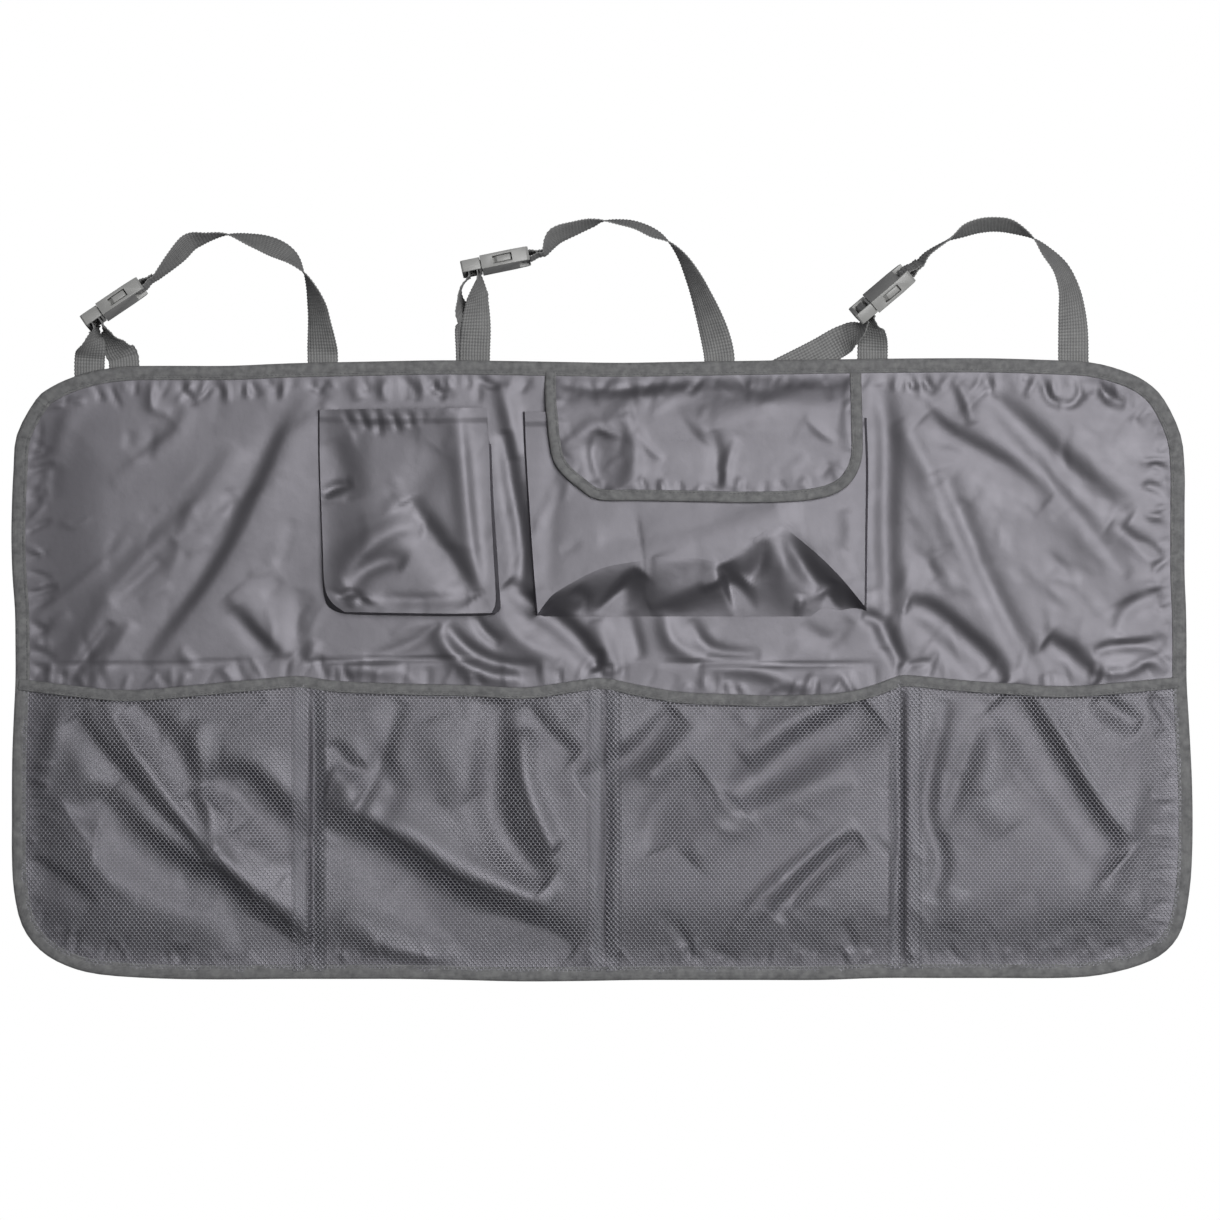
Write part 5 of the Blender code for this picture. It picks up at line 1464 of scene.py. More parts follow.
class BoxPocket:
    """A box pocket: front with its hem, and gusset."""

    CELL = 0.0021
    GUSSET_ROWS = 22
    LEAST_GUSSET = 0.0105

    def __init__(self, cut: PocketCut, ground: Ground, finishes: Finishes, seed: int) -> None:
        self.cut = cut
        self.ground = ground
        self.finishes = finishes
        self.left = smooth_route(cut.left, 4) * MM
        self.right = smooth_route(cut.right, 4) * MM
        self.base = smooth_route(cut.base, 4) * MM
        self.top = max(self.left[0, 1], self.right[0, 1])
        self.low = self.base[:, 1].min()
        low = (self.left[:, 0].min() / MM, self.low / MM)
        high = (self.right[:, 0].max() / MM, self.top / MM)
        extra = scatter(seed, 26, low, high, 55.0, 45.0, (10, 40), 0.5, (2.5, 6.0))
        self.relief = Relief([*cut.folds, *extra])

    def level(self, x: Array, y: Array) -> Array:
        """Height of the front's smooth face."""
        cut = self.cut
        share = np.clip((self.top - y) / (self.top - self.low), 0.0, 1.0)
        rise = cut.mouth + (cut.deep - cut.mouth) * share**1.3
        across = (x - self.left[:, 0].mean()) / (self.right[:, 0].mean() - self.left[:, 0].mean())
        across = np.clip(across, 0.0, 1.0)
        crown = cut.bow * smoothstep(0, 0.3, across) * smoothstep(0, 0.3, 1 - across)
        return rise + crown + cut.tilt * (across - 0.5) + self.ground.edge_lift(y)

    def front_height(self, x: Array, y: Array) -> Array:
        """Height of the front with its folds."""
        return self.level(x, y) + self.relief(x, y)

    def build(self) -> list[bpy.types.Object]:
        """Makes the front and the gusset.

        Returns:
            The pocket's pieces.
        """
        cut = self.cut
        columns = int((self.right[0, 0] - self.left[0, 0]) / self.CELL)
        rows = int((self.top - self.low) / self.CELL)
        u = np.linspace(0, 1, columns + 1)[None, :]
        v = np.linspace(0, 1, rows + 1)[:, None]
        base_x, base_y = self.base[:, 0], self.base[:, 1]
        span = np.linspace(0, 1, len(base_x))
        foot_x = np.interp(u, span, base_x)
        foot_y = np.interp(u, span, base_y)
        top_x = self.left[0, 0] + (self.right[0, 0] - self.left[0, 0]) * u
        left = resample(self.left, 0.001)
        right = resample(self.right, 0.001)
        left_x = np.interp(v, np.linspace(0, 1, len(left)), left[:, 0])
        right_x = np.interp(v, np.linspace(0, 1, len(right)), right[:, 0])
        left_y = np.interp(v, np.linspace(0, 1, len(left)), left[:, 1])
        right_y = np.interp(v, np.linspace(0, 1, len(right)), right[:, 1])
        ruled_x = (1 - v) * top_x + v * foot_x
        ruled_y = (1 - v) * (left[0, 1] + (right[0, 1] - left[0, 1]) * u) + v * foot_y
        side_x = (1 - u) * left_x + u * right_x
        side_y = (1 - u) * left_y + u * right_y
        corner_x = (1 - v) * top_x + v * ((1 - u) * left[-1, 0] + u * right[-1, 0])
        corner_y = (1 - v) * (left[0, 1] + (right[0, 1] - left[0, 1]) * u)
        corner_y = corner_y + v * ((1 - u) * left[-1, 1] + u * right[-1, 1])
        x = ruled_x + side_x - corner_x
        y = ruled_y + side_y - corner_y
        z = self.front_height(x, y)
        hem = (v < 0.5) * 0.0007 * smoothstep(-0.0104, -0.0096, y - self.top)
        z = z + hem
        points = np.stack([x, y, z], axis=-1).reshape(-1, 3)
        uv = np.stack([x, y], axis=-1).reshape(-1, 2)
        front = build_mesh(cut.name + "_face", points, grid_quads(rows + 1, columns + 1), uv)
        dress(front, self.finishes.cloth, Surface.CLOTH, [cut.name + "_front"])
        edge = np.stack([x, y, z], axis=-1)
        rim = np.vstack([edge[:, 0], edge[-1, 1:-1], edge[::-1, -1]])
        gusset = self.gusset(rim)
        return [front, gusset]

    def gusset(self, rim: Array) -> bpy.types.Object:
        """The strip from the front's rim out to the panel."""
        cut = self.cut
        out_left, out_low, out_right = cut.foot
        low, high = rim[:, :2].min(0), rim[:, :2].max(0)
        foot = rim[:, :2].copy()
        middle = (low + high) / 2
        reach = np.where(rim[:, 0] < middle[0], -out_left, out_right)
        share_x = np.clip(np.abs(rim[:, 0] - middle[0]) / (high[0] - middle[0]), 0, 1) ** 10
        foot[:, 0] += reach * share_x
        along = travelled(rim[:, :2])
        along /= along[-1]
        between = np.abs(rim[:, 0] - middle[0]) < (high[0] - middle[0]) * 0.9
        bottom = (rim[:, 1] < self.left[-1, 1] + 0.012) | between
        soft = np.convolve(np.pad(bottom.astype(float), 12, mode="edge"), np.ones(25) / 25, "valid")
        lower = np.minimum(cut.foot_y, foot[:, 1] - out_low * soft)
        foot[:, 1] = foot[:, 1] * (1 - soft) + soft * lower
        rows = self.GUSSET_ROWS
        grid = []
        for k in range(rows + 1):
            share = k / rows
            flat = rim[:, :2] + (foot - rim[:, :2]) * share
            head = rim[:, 2]
            floor = self.ground.panel(flat[:, 0], flat[:, 1]) + 0.0005
            fall = 1 - smoothstep(0.0, 1.0, np.array(share)) * 0.55 - 0.45 * share
            z = floor + (head - floor) * fall
            z = z + self.relief(flat[:, 0], flat[:, 1]) * 1.5 * math.sin(math.pi * share) ** 0.6 * soft
            grid.append(np.column_stack([flat, np.maximum(z, floor)]))
        stack = np.stack(grid, axis=1)
        uv = np.stack([stack[..., 0], stack[..., 1] + stack[..., 2]], axis=-1).reshape(-1, 2)
        quads = grid_quads(len(rim), rows + 1)
        name = cut.name + "_sides"
        obj = build_mesh(name, stack.reshape(-1, 3), quads[:, ::-1], uv)
        dress(obj, self.finishes.cloth, Surface.CLOTH, [cut.name + "_gusset"])
        area = sum(p.area for p in obj.data.polygons)
        length = float(np.linalg.norm(np.diff(rim, axis=0), axis=1).sum())
        wide = max(area / length, self.LEAST_GUSSET)
        return obj


class Flap:
    """The flap over the large pocket, its binding and its hook and loop patches."""

    CELL = 0.0020
    SEWN_DEPTH = 0.0122
    RING_TOP = 0.2400
    CLOTH_TOP = 0.2272
    TAPE_TOP = 0.2268

    def __init__(self, pocket: BoxPocket, ground: Ground, finishes: Finishes) -> None:
        self.pocket = pocket
        self.ground = ground
        self.finishes = finishes
        self.edge = smooth_route(FLAP_EDGE, 4) * MM
        extra = scatter(61, 30, (-40, 132), (192, 222), 60.0, 50.0, (8, 30), 0.45, (2.2, 5.0))
        lower = puckers(62, self.edge / MM, 8.0, (9.0, 18.0), 0.7)
        self.relief = Relief([*FLAP_FOLDS, *extra, *lower])

    def height(self, x: Array, y: Array) -> Array:
        """Height of the flap's face, from the top binding out over the pocket."""
        over = self.pocket.top - 0.012
        sewn = TOP - self.SEWN_DEPTH
        pocket_y = np.minimum(y, self.pocket.top)
        share = np.clip((self.pocket.top - pocket_y) / (self.pocket.top - self.pocket.low), 0, 1)
        cut = self.pocket.cut
        rest = cut.mouth + (cut.deep - cut.mouth) * share**1.3 + cut.bow + 0.0018
        rest = rest + self.ground.edge_lift(y)
        rise = 1 - smoothstep(over - 0.006, sewn + 0.003, y)
        panel = self.ground.panel(x, y) + 0.0003
        quiet = 1 - smoothstep(sewn - 0.012, sewn + 0.001, y)
        height = panel + (rest - panel) * rise + (self.relief(x, y) + 0.0012) * quiet
        covered = smoothstep(0.0, 0.004, self.pocket.top - y)
        under = self.pocket.front_height(x, y) + 0.0006
        return np.maximum(height, panel + (under - panel) * covered)

    def build(self) -> list[bpy.types.Object]:
        """Makes the flap, its tape and the patches.

        Returns:
            The flap's pieces.
        """
        above = [[self.edge[-1, 0], self.RING_TOP], [self.edge[0, 0], self.RING_TOP]]
        ring = np.vstack([self.edge, above])
        low, high = ring.min(0), ring.max(0)
        xs = np.arange(low[0], high[0], self.CELL)
        ys = np.arange(low[1], self.CLOTH_TOP, self.CELL)
        x, y = (a.ravel() for a in np.meshgrid(xs, ys))
        quads = grid_quads(len(ys), len(xs))
        cx, cy = x[quads].mean(1), y[quads].mean(1)
        quads = quads[clearance(ring, cx, cy) > 0.0015]
        points, quads, uv = keep_used(np.stack([x, y], 1), quads, np.stack([x, y], 1))
        z = self.height(points[:, 0], points[:, 1])
        cloth = build_mesh("flap_cloth", np.column_stack([points, z]), quads, uv)
        dress(cloth, self.finishes.cloth, Surface.CLOTH, ["pocket_flap"])
        tape = Tape(width=0.0084)
        line = self.edge[(self.edge[:, 1] < self.TAPE_TOP)]
        back, face = moved(self.height, -0.0007), moved(self.height, 0.0002)
        binding = tape.fold("flap_tape", line, face, back, False, 23)
        dress(binding, self.finishes.tape, Surface.TAPE, ["flap_binding"])
        inner = tape.stitches("flap_stitches_inner", line, face, False)
        dress(inner, self.finishes.thread, Surface.TAPE)
        return [cloth, binding, *self.patches()]

    def patches(self) -> list[bpy.types.Object]:
        """Makes the hook and the loop patches where the CAD has them."""
        made = []
        for side in ("left", "right"):
            for kind in ("hook", "loop"):
                node = f"{kind}_patch_{side}"
                low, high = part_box(node)
                xs = np.linspace(low.x, high.x, 60)
                ys = np.linspace(low.y, high.y, 28)
                x, y = (a.ravel() for a in np.meshgrid(xs, ys))
                rng = np.random.default_rng(len(made) + 71)
                if kind == "hook":
                    z = self.height(x, y) - 0.0012 - rng.uniform(0, 0.0003, len(x))
                else:
                    z = self.pocket.front_height(x, y) + 0.0008 + rng.uniform(0, 0.0003, len(x))
                piece = build_mesh(f"{kind}_pad_{side}", np.column_stack([x, y, z]), grid_quads(28, 60))
                dress(piece, self.finishes.pile, Surface.PILE, [node])
                made.append(piece)
        return made


WEB_WIDTH = 0.0235
WEB = 0.0012
WEB_GAP = 0.0003
SEWN_Z = 2 * (WEB + WEB_GAP) - WEB_GAP - WEB
BUCKLE_LENGTH = 0.0525
HOUSING_WIDTH = 0.0330
HOUSING_THICKNESS = 0.0105
LATCH_THICKNESS = 0.0090
BAR_THICKNESS = 0.0030
LADDER_INNER = 0.01125
LADDER_OUTER = 0.00475
END_SLOT = 0.0460
RIB_PITCH = 0.0026
WEB_BEND = 0.0018
LOOP_EXIT = 0.0018
LOOP_MEET = 0.0060
SEWN_FOLD = 0.0110
LONG_HELD_RUN = 0.045
SHORT_HELD_RUN = 0.022
EASE_ROUNDS = 200
EDGE_STEP = 0.0003
BEVEL = 0.0005
BEVEL_ANGLE = 25

Station = tuple[Vector, Vector]


@dataclass(frozen=True)
class StrapRun:
    """One webbing loop as it lies, its routes running from the buckle to the panel.

    Args:
        name: start of its CAD nodes' names.
        latch_end: outer end of the buckle's ladder, the height over the panel's top edge.
        heading: direction of the buckle on the ground plan.
        roll: lean of the buckle about its length, in degrees.
        long_route: places of the long strap as x, height over the top edge and roll.
        outer_leg: the same for the leg from the ladder's outer slot.
        inner_leg: the same for the leg from the ladder's inner slot.
        inner_lift: height of the inner leg where it lies over the outer one.
    """

    name: str
    latch_end: tuple[float, float]
    heading: tuple[float, float]
    roll: float
    long_route: tuple[tuple[float, float, float], ...]
    outer_leg: tuple[tuple[float, float, float], ...]
    inner_leg: tuple[tuple[float, float, float], ...]
    inner_lift: float = 0.0


STRAPS = (
    StrapRun(
        name="left",
        latch_end=(-0.3932, 0.0267),
        heading=(0.830, 0.558),
        roll=81.0,
        long_route=(
            (-0.3239, 0.0785, 58), (-0.3132, 0.0892, 56), (-0.3010, 0.0926, 74),
            (-0.2858, 0.0949, 90), (-0.2693, 0.0912, 113), (-0.2516, 0.0857, 129),
            (-0.2380, 0.0783, 120), (-0.2271, 0.0660, 90), (-0.2210, 0.0538, 70),
            (-0.2169, 0.0402, 51), (-0.2149, 0.0267, 39), (-0.2134, 0.0130, 20),
            (-0.2128, 0.0030, 0), (-0.2128, -0.0122, 0),
        ),
        outer_leg=(
            (-0.3862, 0.0190, 106), (-0.3876, 0.0130, 124), (-0.3890, 0.0070, 148),
            (-0.3902, 0.0010, 174), (-0.3905, -0.0070, 180), (-0.3903, -0.0150, 180),
        ),
        inner_leg=(
            (-0.3776, 0.0230, 84), (-0.3748, 0.0175, 70), (-0.3716, 0.0130, 54),
            (-0.3682, 0.0070, 30), (-0.3645, 0.0010, 0), (-0.3640, -0.0125, 0),
        ),
    ),
    StrapRun(
        name="middle",
        latch_end=(-0.1067, 0.0678),
        heading=(0.980, 0.202),
        roll=82.0,
        long_route=(
            (-0.0366, 0.0925, 58), (-0.0223, 0.0988, 64), (-0.0084, 0.1034, 75),
            (0.0008, 0.1052, 90), (0.0134, 0.1042, 101), (0.0259, 0.1018, 106),
            (0.0396, 0.0956, 108), (0.0515, 0.0886, 90), (0.0616, 0.0770, 74), (0.0693, 0.0629, 60),
            (0.0754, 0.0489, 49), (0.0818, 0.0319, 32), (0.0865, 0.0163, 14), (0.0892, 0.0030, 0),
            (0.0900, -0.0122, 0),
        ),
        outer_leg=(
            (-0.1059, 0.0564, 90), (-0.1086, 0.0472, 95), (-0.1069, 0.0381, 120),
            (-0.1038, 0.0335, 140), (-0.1021, 0.0290, 153), (-0.1010, 0.0236, 165),
            (-0.1002, 0.0130, 176), (-0.0998, 0.0046, 180), (-0.0997, -0.0122, 180),
        ),
        inner_leg=(
            (-0.0945, 0.0541, 117), (-0.0952, 0.0442, 135), (-0.0960, 0.0236, 165),
            (-0.0968, 0.0076, 180), (-0.0970, -0.0122, 180),
        ),
        inner_lift=SEWN_Z,
    ),
    StrapRun(
        name="right",
        latch_end=(0.1928, 0.0320),
        heading=(0.763, 0.646),
        roll=106.0,
        long_route=(
            (0.2480, 0.0805, 99), (0.2640, 0.0910, 90), (0.2751, 0.0974, 70), (0.2865, 0.1013, 64),
            (0.2992, 0.1025, 64), (0.3121, 0.1006, 67), (0.3274, 0.0926, 90), (0.3376, 0.0823, 111),
            (0.3490, 0.0693, 124), (0.3554, 0.0533, 136), (0.3578, 0.0358, 155),
            (0.3589, 0.0198, 171), (0.3591, 0.0030, 180), (0.3591, -0.0122, 180),
        ),
        outer_leg=(
            (0.1985, 0.0215, 72), (0.1925, 0.0190, 46), (0.1865, 0.0160, 24), (0.1790, 0.0122, 5),
            (0.1680, 0.0058, 0), (0.1560, -0.0005, 0), (0.1430, -0.0070, 0), (0.1290, -0.0140, 0),
        ),
        inner_leg=(
            (0.2044, 0.0270, 56), (0.2056, 0.0210, 36), (0.2062, 0.0130, 14), (0.2061, 0.0050, 0),
            (0.2061, -0.0125, 0),
        ),
    ),
)


def ramp(low: float, high: float, value: float) -> float:
    """smoothstep of one number."""
    return float(smoothstep(low, high, np.array(value)))


def rounded_route(corners: Sequence[tuple[float, float]], radius: float, steps: int = 3) -> list[Vector]:
    """A flat route whose corners are rounded to a radius."""
    points = [Vector(corners[0])]
    for before, corner, after in zip(corners, corners[1:], corners[2:]):
        corner = Vector(corner)
        back = (Vector(before) - corner).normalized()
        ahead = (Vector(after) - corner).normalized()
        half = back.angle(ahead) / 2
        trim = radius / math.tan(half)
        centre = corner + (back + ahead).normalized() * (radius / math.sin(half))
        first = corner + back * trim - centre
        last = corner + ahead * trim - centre
        turn = first.angle_signed(last)
        for k in range(steps + 1):
            points.append(centre + Matrix.Rotation(-turn * k / steps, 2) @ first)
    points.append(Vector(corners[-1]))
    return points


def natural_height(lean: float) -> float:
    """Height of webbing's middle where it leans by an angle and touches the surface."""
    return WEB_WIDTH / 2 * abs(math.sin(lean)) + WEB / 2 * abs(math.cos(lean))


def ring_sides(stations: Sequence[Station]) -> list[tuple[Vector, Vector]]:
    """Both edges of the webbing at its stations."""
    sides = []
    for k, (centre, width) in enumerate(stations):
        ahead = stations[min(k + 1, len(stations) - 1)][0]
        behind = stations[max(k - 1, 0)][0]
        run = (ahead - behind).normalized()
        across = (width - run * width.dot(run)).normalized() * (WEB_WIDTH / 2)
        sides.append((centre - across, centre + across))
    return sides


def ease(stations: list[Station], held: set[int]) -> list[Station]:
    """Smooths webbing where a bend would fold its edges over themselves."""
    for _ in range(EASE_ROUNDS):
        sides = ring_sides(stations)
        near: set[int] = set()
        for k, (a, b) in enumerate(zip(sides, sides[1:])):
            run = (stations[k + 1][0] - stations[k][0]).normalized()
            if min((q - p).dot(run) for p, q in zip(a, b)) < EDGE_STEP:
                near.update(range(k - 3, k + 5))
        near = {k for k in near if 1 < k < len(stations) - 2} - held
        if not near:
            break
        eased = list(stations)
        for k in near:
            before, own, after = stations[k - 1 : k + 2]
            centre = (before[0] + 2 * own[0] + after[0]) / 4
            width = (before[1] + 2 * own[1] + after[1]).normalized()
            centre.z = max(centre.z, natural_height(math.asin(max(-1.0, min(1.0, width.z)))))
            eased[k] = (centre, width)
        stations = eased
    return stations


def face_one_way(stations: list[Station]) -> list[Station]:
    """Turns width directions over where they point against the one before."""
    turned = [stations[0]]
    for centre, width in stations[1:]:
        turned.append((centre, -width if width.dot(turned[-1][1]) < 0 else width))
    return turned


class StrapLoop:
    """One webbing loop with its buckle."""

    def __init__(self, run: StrapRun, finishes: Finishes) -> None:
        self.run = run
        self.finishes = finishes
        self.along = Vector((*run.heading, 0.0)).normalized()
        side = Vector((-self.along.y, self.along.x, 0.0))
        lean = math.radians(run.roll)
        self.width = side * math.cos(lean) + Vector((0, 0, math.sin(lean)))
        self.thick = self.along.cross(self.width)
        height = HOUSING_WIDTH / 2 * abs(math.sin(lean)) + HOUSING_THICKNESS / 2 * abs(math.cos(lean))
        self.origin = Vector((run.latch_end[0], TOP + run.latch_end[1], height))

    def place(self, length: float, thick: float) -> Vector:
        """A point in the buckle's own length and thickness."""
        return self.origin + self.along * length + self.thick * thick

    def free_run(
        self, start: Sequence[tuple[Vector, float]], route: Sequence[tuple[float, float, float]],
        sewn_z: float, held_run: float, lift: float = 0.0,
    ) -> list[Station]:
        """Stations of webbing from its leave of the buckle to its sewn end."""
        leave = start[-1][0] - start[-2][0]
        climb = max(leave.z, 0.0) / leave.to_2d().length
        knots = [(p.x, p.y, roll, p.z) for p, roll in start]
        for k, (x, y, roll) in enumerate(route):
            natural = natural_height(math.radians(roll))
            away = math.hypot(x - start[-1][0].x, TOP + y - start[-1][0].y)
            fall = 1 - ramp(0.0, held_run, away)
            held = max(start[-1][0].z + climb * away - natural, 0.0) * fall
            sewn = sewn_z if k == len(route) - 1 else 0.0
            knots.append((x, TOP + y, roll, natural + max(held, lift, sewn)))
        smooth = smooth_route(tuple(knots), 3)[3:]
        stations = []
        for k, (x, y, roll, z) in enumerate(smooth):
            ahead = smooth[min(k + 1, len(smooth) - 1)]
            behind = smooth[max(k - 1, 0)]
            run = Vector((ahead[0] - behind[0], ahead[1] - behind[1], 0.0)).normalized()
            side = Vector((-run.y, run.x, 0.0))
            lean = math.radians(roll)
            width = side * math.cos(lean) + Vector((0, 0, math.sin(lean)))
            stations.append((Vector((x, y, max(z, natural_height(lean)))), width))
        return stations

    def long_strap(self) -> bpy.types.Object:
        """From its sewn fold round the housing's bar to the top binding."""
        layer = (WEB + WEB_GAP) / 2
        over = BAR_THICKNESS / 2 + WEB_GAP + WEB / 2
        exit_at, meet, end = (BUCKLE_LENGTH + d for d in (LOOP_EXIT, LOOP_MEET, SEWN_FOLD))
        corners = [
            (end, -layer), (meet, -layer), (exit_at, -over), (END_SLOT, -over),
            (END_SLOT, over), (exit_at, over), (meet, layer), (end, layer),
        ]
        route = rounded_route(corners, WEB_BEND)
        stations = [(self.place(p.x, p.y), self.width) for p in route[:-1]]
        start = [
            (self.place(meet + 0.001, layer), self.run.roll),
            (self.place(end, layer), self.run.roll),
        ]
        stations += self.free_run(start, self.run.long_route, SEWN_Z, LONG_HELD_RUN)
        return self.webbing("long", stations)

    def short_strap(self) -> bpy.types.Object:
        """Through the ladder, round its bar, and both ends down to the top binding."""
        over = BAR_THICKNESS / 2 + WEB_GAP + WEB / 2
        leave = LATCH_THICKNESS / 2 + WEB_GAP + LOOP_EXIT
        corners = [
            (LADDER_INNER, leave), (LADDER_INNER, -over), (LADDER_OUTER, -over), (LADDER_OUTER, leave),
        ]
        route = rounded_route(corners, WEB_BEND)
        runs = []
        legs = (
            (LADDER_INNER, self.run.inner_leg, self.run.inner_lift),
            (LADDER_OUTER, self.run.outer_leg, 0.0),
        )
        for place, leg, lift in legs:
            start = [(self.place(place, leave - 0.003), 90.0), (self.place(place, leave), 90.0)]
            end_z = 0.0 if lift == 0.0 and self.run.inner_lift > 0.0 else SEWN_Z
            runs.append(self.free_run(start, leg, end_z, SHORT_HELD_RUN, lift)[1:])
        inside_run = [(self.place(p.x, p.y), self.width) for p in route]
        stations = face_one_way(runs[0][::-1] + inside_run + runs[1])
        held = set(range(len(runs[0]), len(runs[0]) + len(inside_run)))
        return self.webbing("short", ease(stations, held))

    def webbing(self, kind: str, stations: list[Station]) -> bpy.types.Object:
        """Ribbed webbing along its stations.

        Args:
            kind: long or short.
            stations: centres and width directions.

        Returns:
            The strap's piece.
        """
        rows = np.array([[*centre, *width] for centre, width in face_one_way(stations)])
        line = resample(rows, RIB_PITCH / 5) if len(rows) < 4 else self.fine(rows)
        centre, width = line[:, :3], line[:, 3:]
        run = directions(centre)
        width = width - run * (width * run).sum(1, keepdims=True)
        width /= np.linalg.norm(width, axis=1, keepdims=True)
        normal = np.cross(run, width)
        along = travelled(centre)
        rib = np.cos(2 * math.pi * along / RIB_PITCH)
        fat = WEB / 2 * (0.86 + 0.42 * np.maximum(rib, -0.5))
        half = WEB_WIDTH / 2 - 0.0002 + 0.00022 * rib
        section = []
        for share, rise in ((-1.0, 0.0), (-0.985, 0.55), (-0.95, 0.92), (-0.5, 1.0), (0.0, 1.0), (0.5, 1.0),
                            (0.95, 0.92), (0.985, 0.55), (1.0, 0.0)):
            section.append((share, rise))
        section += [(share, -rise) for share, rise in section[-2:0:-1]]
        grid = np.stack(
            [centre + width * (half * s)[:, None] + normal * (fat * r)[:, None] for s, r in section], axis=1
        )
        grid[..., 2] = np.maximum(grid[..., 2], 0.00005)
        across = np.array([s for s, _ in section]) * WEB_WIDTH / 2
        uv = np.stack(np.broadcast_arrays(along[:, None], across[None, :]), axis=-1)
        name = f"{self.run.name}_{kind}_webbing"
        quads = grid_quads(len(line), len(section), tube=True)
        cap = np.array([(j, j + 1, 15 - j, 16 - j) for j in range(1, 7)])
        quads = np.vstack([quads, cap[:, ::-1], cap + (len(line) - 1) * len(section)])
        obj = build_mesh(name, grid.reshape(-1, 3), quads, uv.reshape(-1, 2))
        dress(obj, self.finishes.webbing, Surface.WEBBING, [f"{self.run.name}_{kind}_strap"])
        return obj

    @staticmethod
    def fine(rows: Array) -> Array:
        """Stations close enough together to carry the ribs."""
        smooth = smooth_route(tuple(map(tuple, rows)), 4)
        along = travelled(smooth[:, :3])
        count = math.ceil(along[-1] / (RIB_PITCH / 5))
        at = np.linspace(0, along[-1], count + 1)
        return np.stack([np.interp(at, along, smooth[:, k]) for k in range(6)], axis=1)

    def moulded(self, kind: str) -> bpy.types.Object:
        """One half of the buckle with rounded edges."""
        node = f"{self.run.name}_buckle_{kind}"
        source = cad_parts[node]
        bm = bmesh.new()
        bm.from_mesh(source.data)
        bmesh.ops.remove_doubles(bm, verts=bm.verts[:], dist=1e-6)
        bmesh.ops.dissolve_limit(bm, angle_limit=math.radians(2), verts=bm.verts[:], edges=bm.edges[:])
        sharp = math.radians(BEVEL_ANGLE)
        edges = [e for e in bm.edges if len(e.link_faces) == 2 and e.calc_face_angle(0.0) > sharp]
        bmesh.ops.bevel(
            bm, geom=edges, offset=BEVEL, offset_type="OFFSET", segments=2, profile=0.6,
            affect="EDGES", clamp_overlap=True,
        )
        mesh = bpy.data.meshes.new(f"{self.run.name}_{kind}")
        for face in bm.faces:
            face.smooth = True
        bm.to_mesh(mesh)
        bm.free()
        obj = bpy.data.objects.new(f"{self.run.name}_{kind}", mesh)
        bpy.context.scene.collection.objects.link(obj)
        mesh.set_sharp_from_angle(angle=math.radians(38))
        dress(obj, self.finishes.plastic, Surface.PLASTIC, [node])
        return obj

    def build(self) -> list[bpy.types.Object]:
        """Makes the webbing and the buckle.

        Returns:
            The loop's pieces.
        """
        pieces = [self.moulded("latch"), self.moulded("housing")]
        pieces += [self.long_strap(), self.short_strap()]
        return pieces


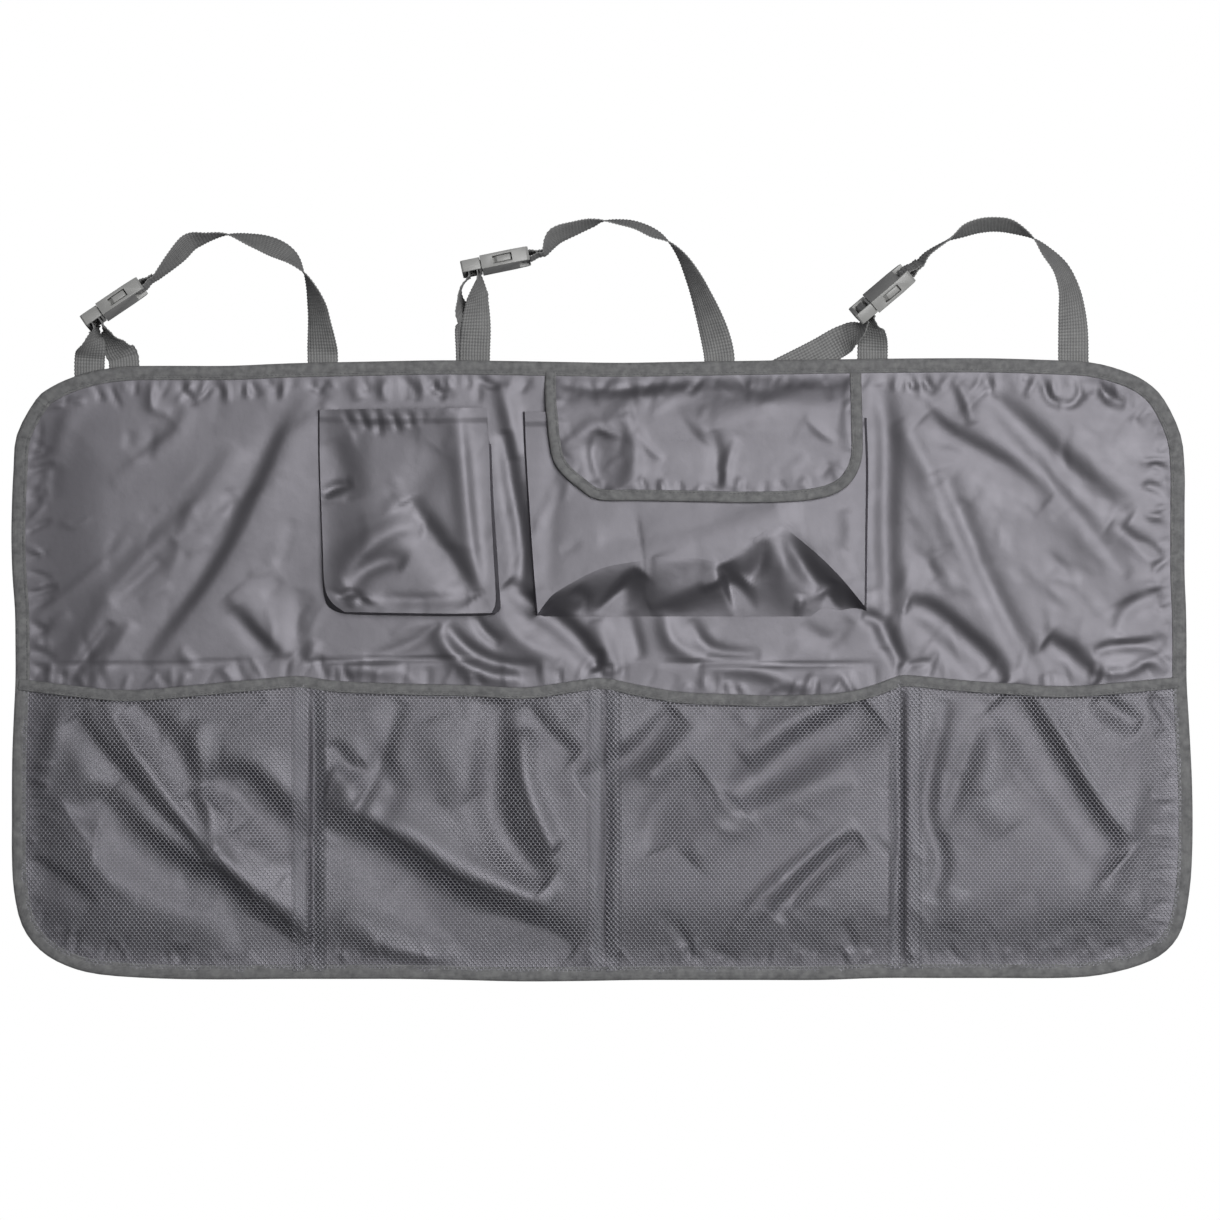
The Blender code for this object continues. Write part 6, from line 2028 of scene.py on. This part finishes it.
class Studio:
    """The plain white ground, the lights and the camera."""

    CENTRE = Vector((0.0061, 0.0453, 0.0))
    DISTANCE = 9.0
    HALF_VIEW = 0.4648

    def build(self) -> None:
        """Adds everything that isn't part of the object."""
        self.floor()
        self.light("key", 28.0, 70.0, 3.0, 1.8, 61.0)
        self.light("fill", 170.0, 45.0, 2.8, 2.0, 2.0)
        world = bpy.data.worlds.new("pale_room")
        world.use_nodes = True
        world.node_tree.nodes["Background"].inputs["Color"].default_value = linear("f2f4f8")
        world.node_tree.nodes["Background"].inputs["Strength"].default_value = 0.05
        bpy.context.scene.world = world
        bpy.context.scene.view_settings.view_transform = "Standard"
        data = bpy.data.cameras.new("camera")
        data.angle = 2 * math.atan(self.HALF_VIEW / self.DISTANCE)
        camera = bpy.data.objects.new("camera", data)
        camera.location = self.CENTRE + Vector((0, 0, self.DISTANCE))
        bpy.context.scene.collection.objects.link(camera)
        bpy.context.scene.camera = camera

    @staticmethod
    def floor() -> None:
        """A ground that the camera sees as plain white."""
        g = Graph("white_ground")
        g.set(Base_Color=linear("8c8c8e"), Roughness=0.9)
        seen = g.add("ShaderNodeLightPath")
        glow = g.add("ShaderNodeEmission", Color=linear("ffffff"), Strength=1.0)
        mixed = g.add("ShaderNodeMixShader")
        share = g.math("MAXIMUM", seen.outputs["Is Camera Ray"], seen.outputs["Is Transmission Ray"])
        g.feed(mixed, 0, share)
        g.tree.links.new(g.shader.outputs[0], mixed.inputs[1])
        g.tree.links.new(glow.outputs[0], mixed.inputs[2])
        out = g.tree.nodes["Material Output"]
        g.tree.links.new(mixed.outputs[0], out.inputs["Surface"])
        points = np.array([[-3, -3, 0], [3, -3, 0], [3, 3, 0], [-3, 3, 0]], float) - (0, 0, 0.0002)
        floor = build_mesh("ground", points, np.array([[0, 1, 2, 3]]), smooth=False)
        floor.data.materials.append(g.material)

    def light(
        self, name: str, azimuth: float, elevation: float, distance: float, size: float, power: float
    ) -> None:
        """A square lamp aimed at the object.

        Args:
            name: the lamp's name.
            azimuth: its direction from +X towards +Y, in degrees.
            elevation: its direction over the ground, in degrees.
            distance: metres from the object's middle.
            size: its side in metres.
            power: in watts.
        """
        data = bpy.data.lights.new(name, "AREA")
        data.size = size
        data.energy = power
        lamp = bpy.data.objects.new(name, data)
        a, e = math.radians(azimuth), math.radians(elevation)
        way = Vector((math.cos(a) * math.cos(e), math.sin(a) * math.cos(e), math.sin(e)))
        lamp.location = self.CENTRE + way * distance
        lamp.rotation_euler = way.to_track_quat("Z", "Y").to_euler()
        bpy.context.scene.collection.objects.link(lamp)


SMALL_CUT = PocketCut(
    name="small_pocket",
    left=SMALL_LEFT,
    right=SMALL_RIGHT,
    base=(SMALL_LEFT[-1], (-120.0, 42.6), SMALL_RIGHT[-1]),
    foot=(0.0012, 0.0020, 0.0036),
    foot_y=0.0424,
    mouth=0.0105,
    deep=0.0170,
    bow=0.0030,
    tilt=0.0050,
    folds=SMALL_FOLDS,
)
LARGE_CUT = PocketCut(
    name="large_pocket",
    left=LARGE_LEFT,
    right=LARGE_RIGHT,
    base=ARCH,
    foot=(0.0015, 0.0030, 0.0020),
    foot_y=0.0405,
    mouth=0.0078,
    deep=0.0215,
    bow=0.0012,
    tilt=0.0,
    folds=LARGE_FOLDS,
)


def main() -> None:
    """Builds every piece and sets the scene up."""
    logging.basicConfig(level=logging.INFO)
    ground = Ground()
    finishes = Finishes()
    made = [Panel(ground, finishes).build(), Bindings(ground, finishes).build()]
    LOG.info("panel and edge done")
    made += NetCloth(ground, finishes).build()
    LOG.info("net done")
    small = BoxPocket(SMALL_CUT, ground, finishes, 51)
    large = BoxPocket(LARGE_CUT, ground, finishes, 52)
    made += small.build() + large.build()
    made += Flap(large, ground, finishes).build()
    for run in STRAPS:
        made += StrapLoop(run, finishes).build()
    LOG.info("%d pieces", len(made))
    Studio().build()
    bpy.context.view_layer.update()


if __name__ == "__main__":
    main()
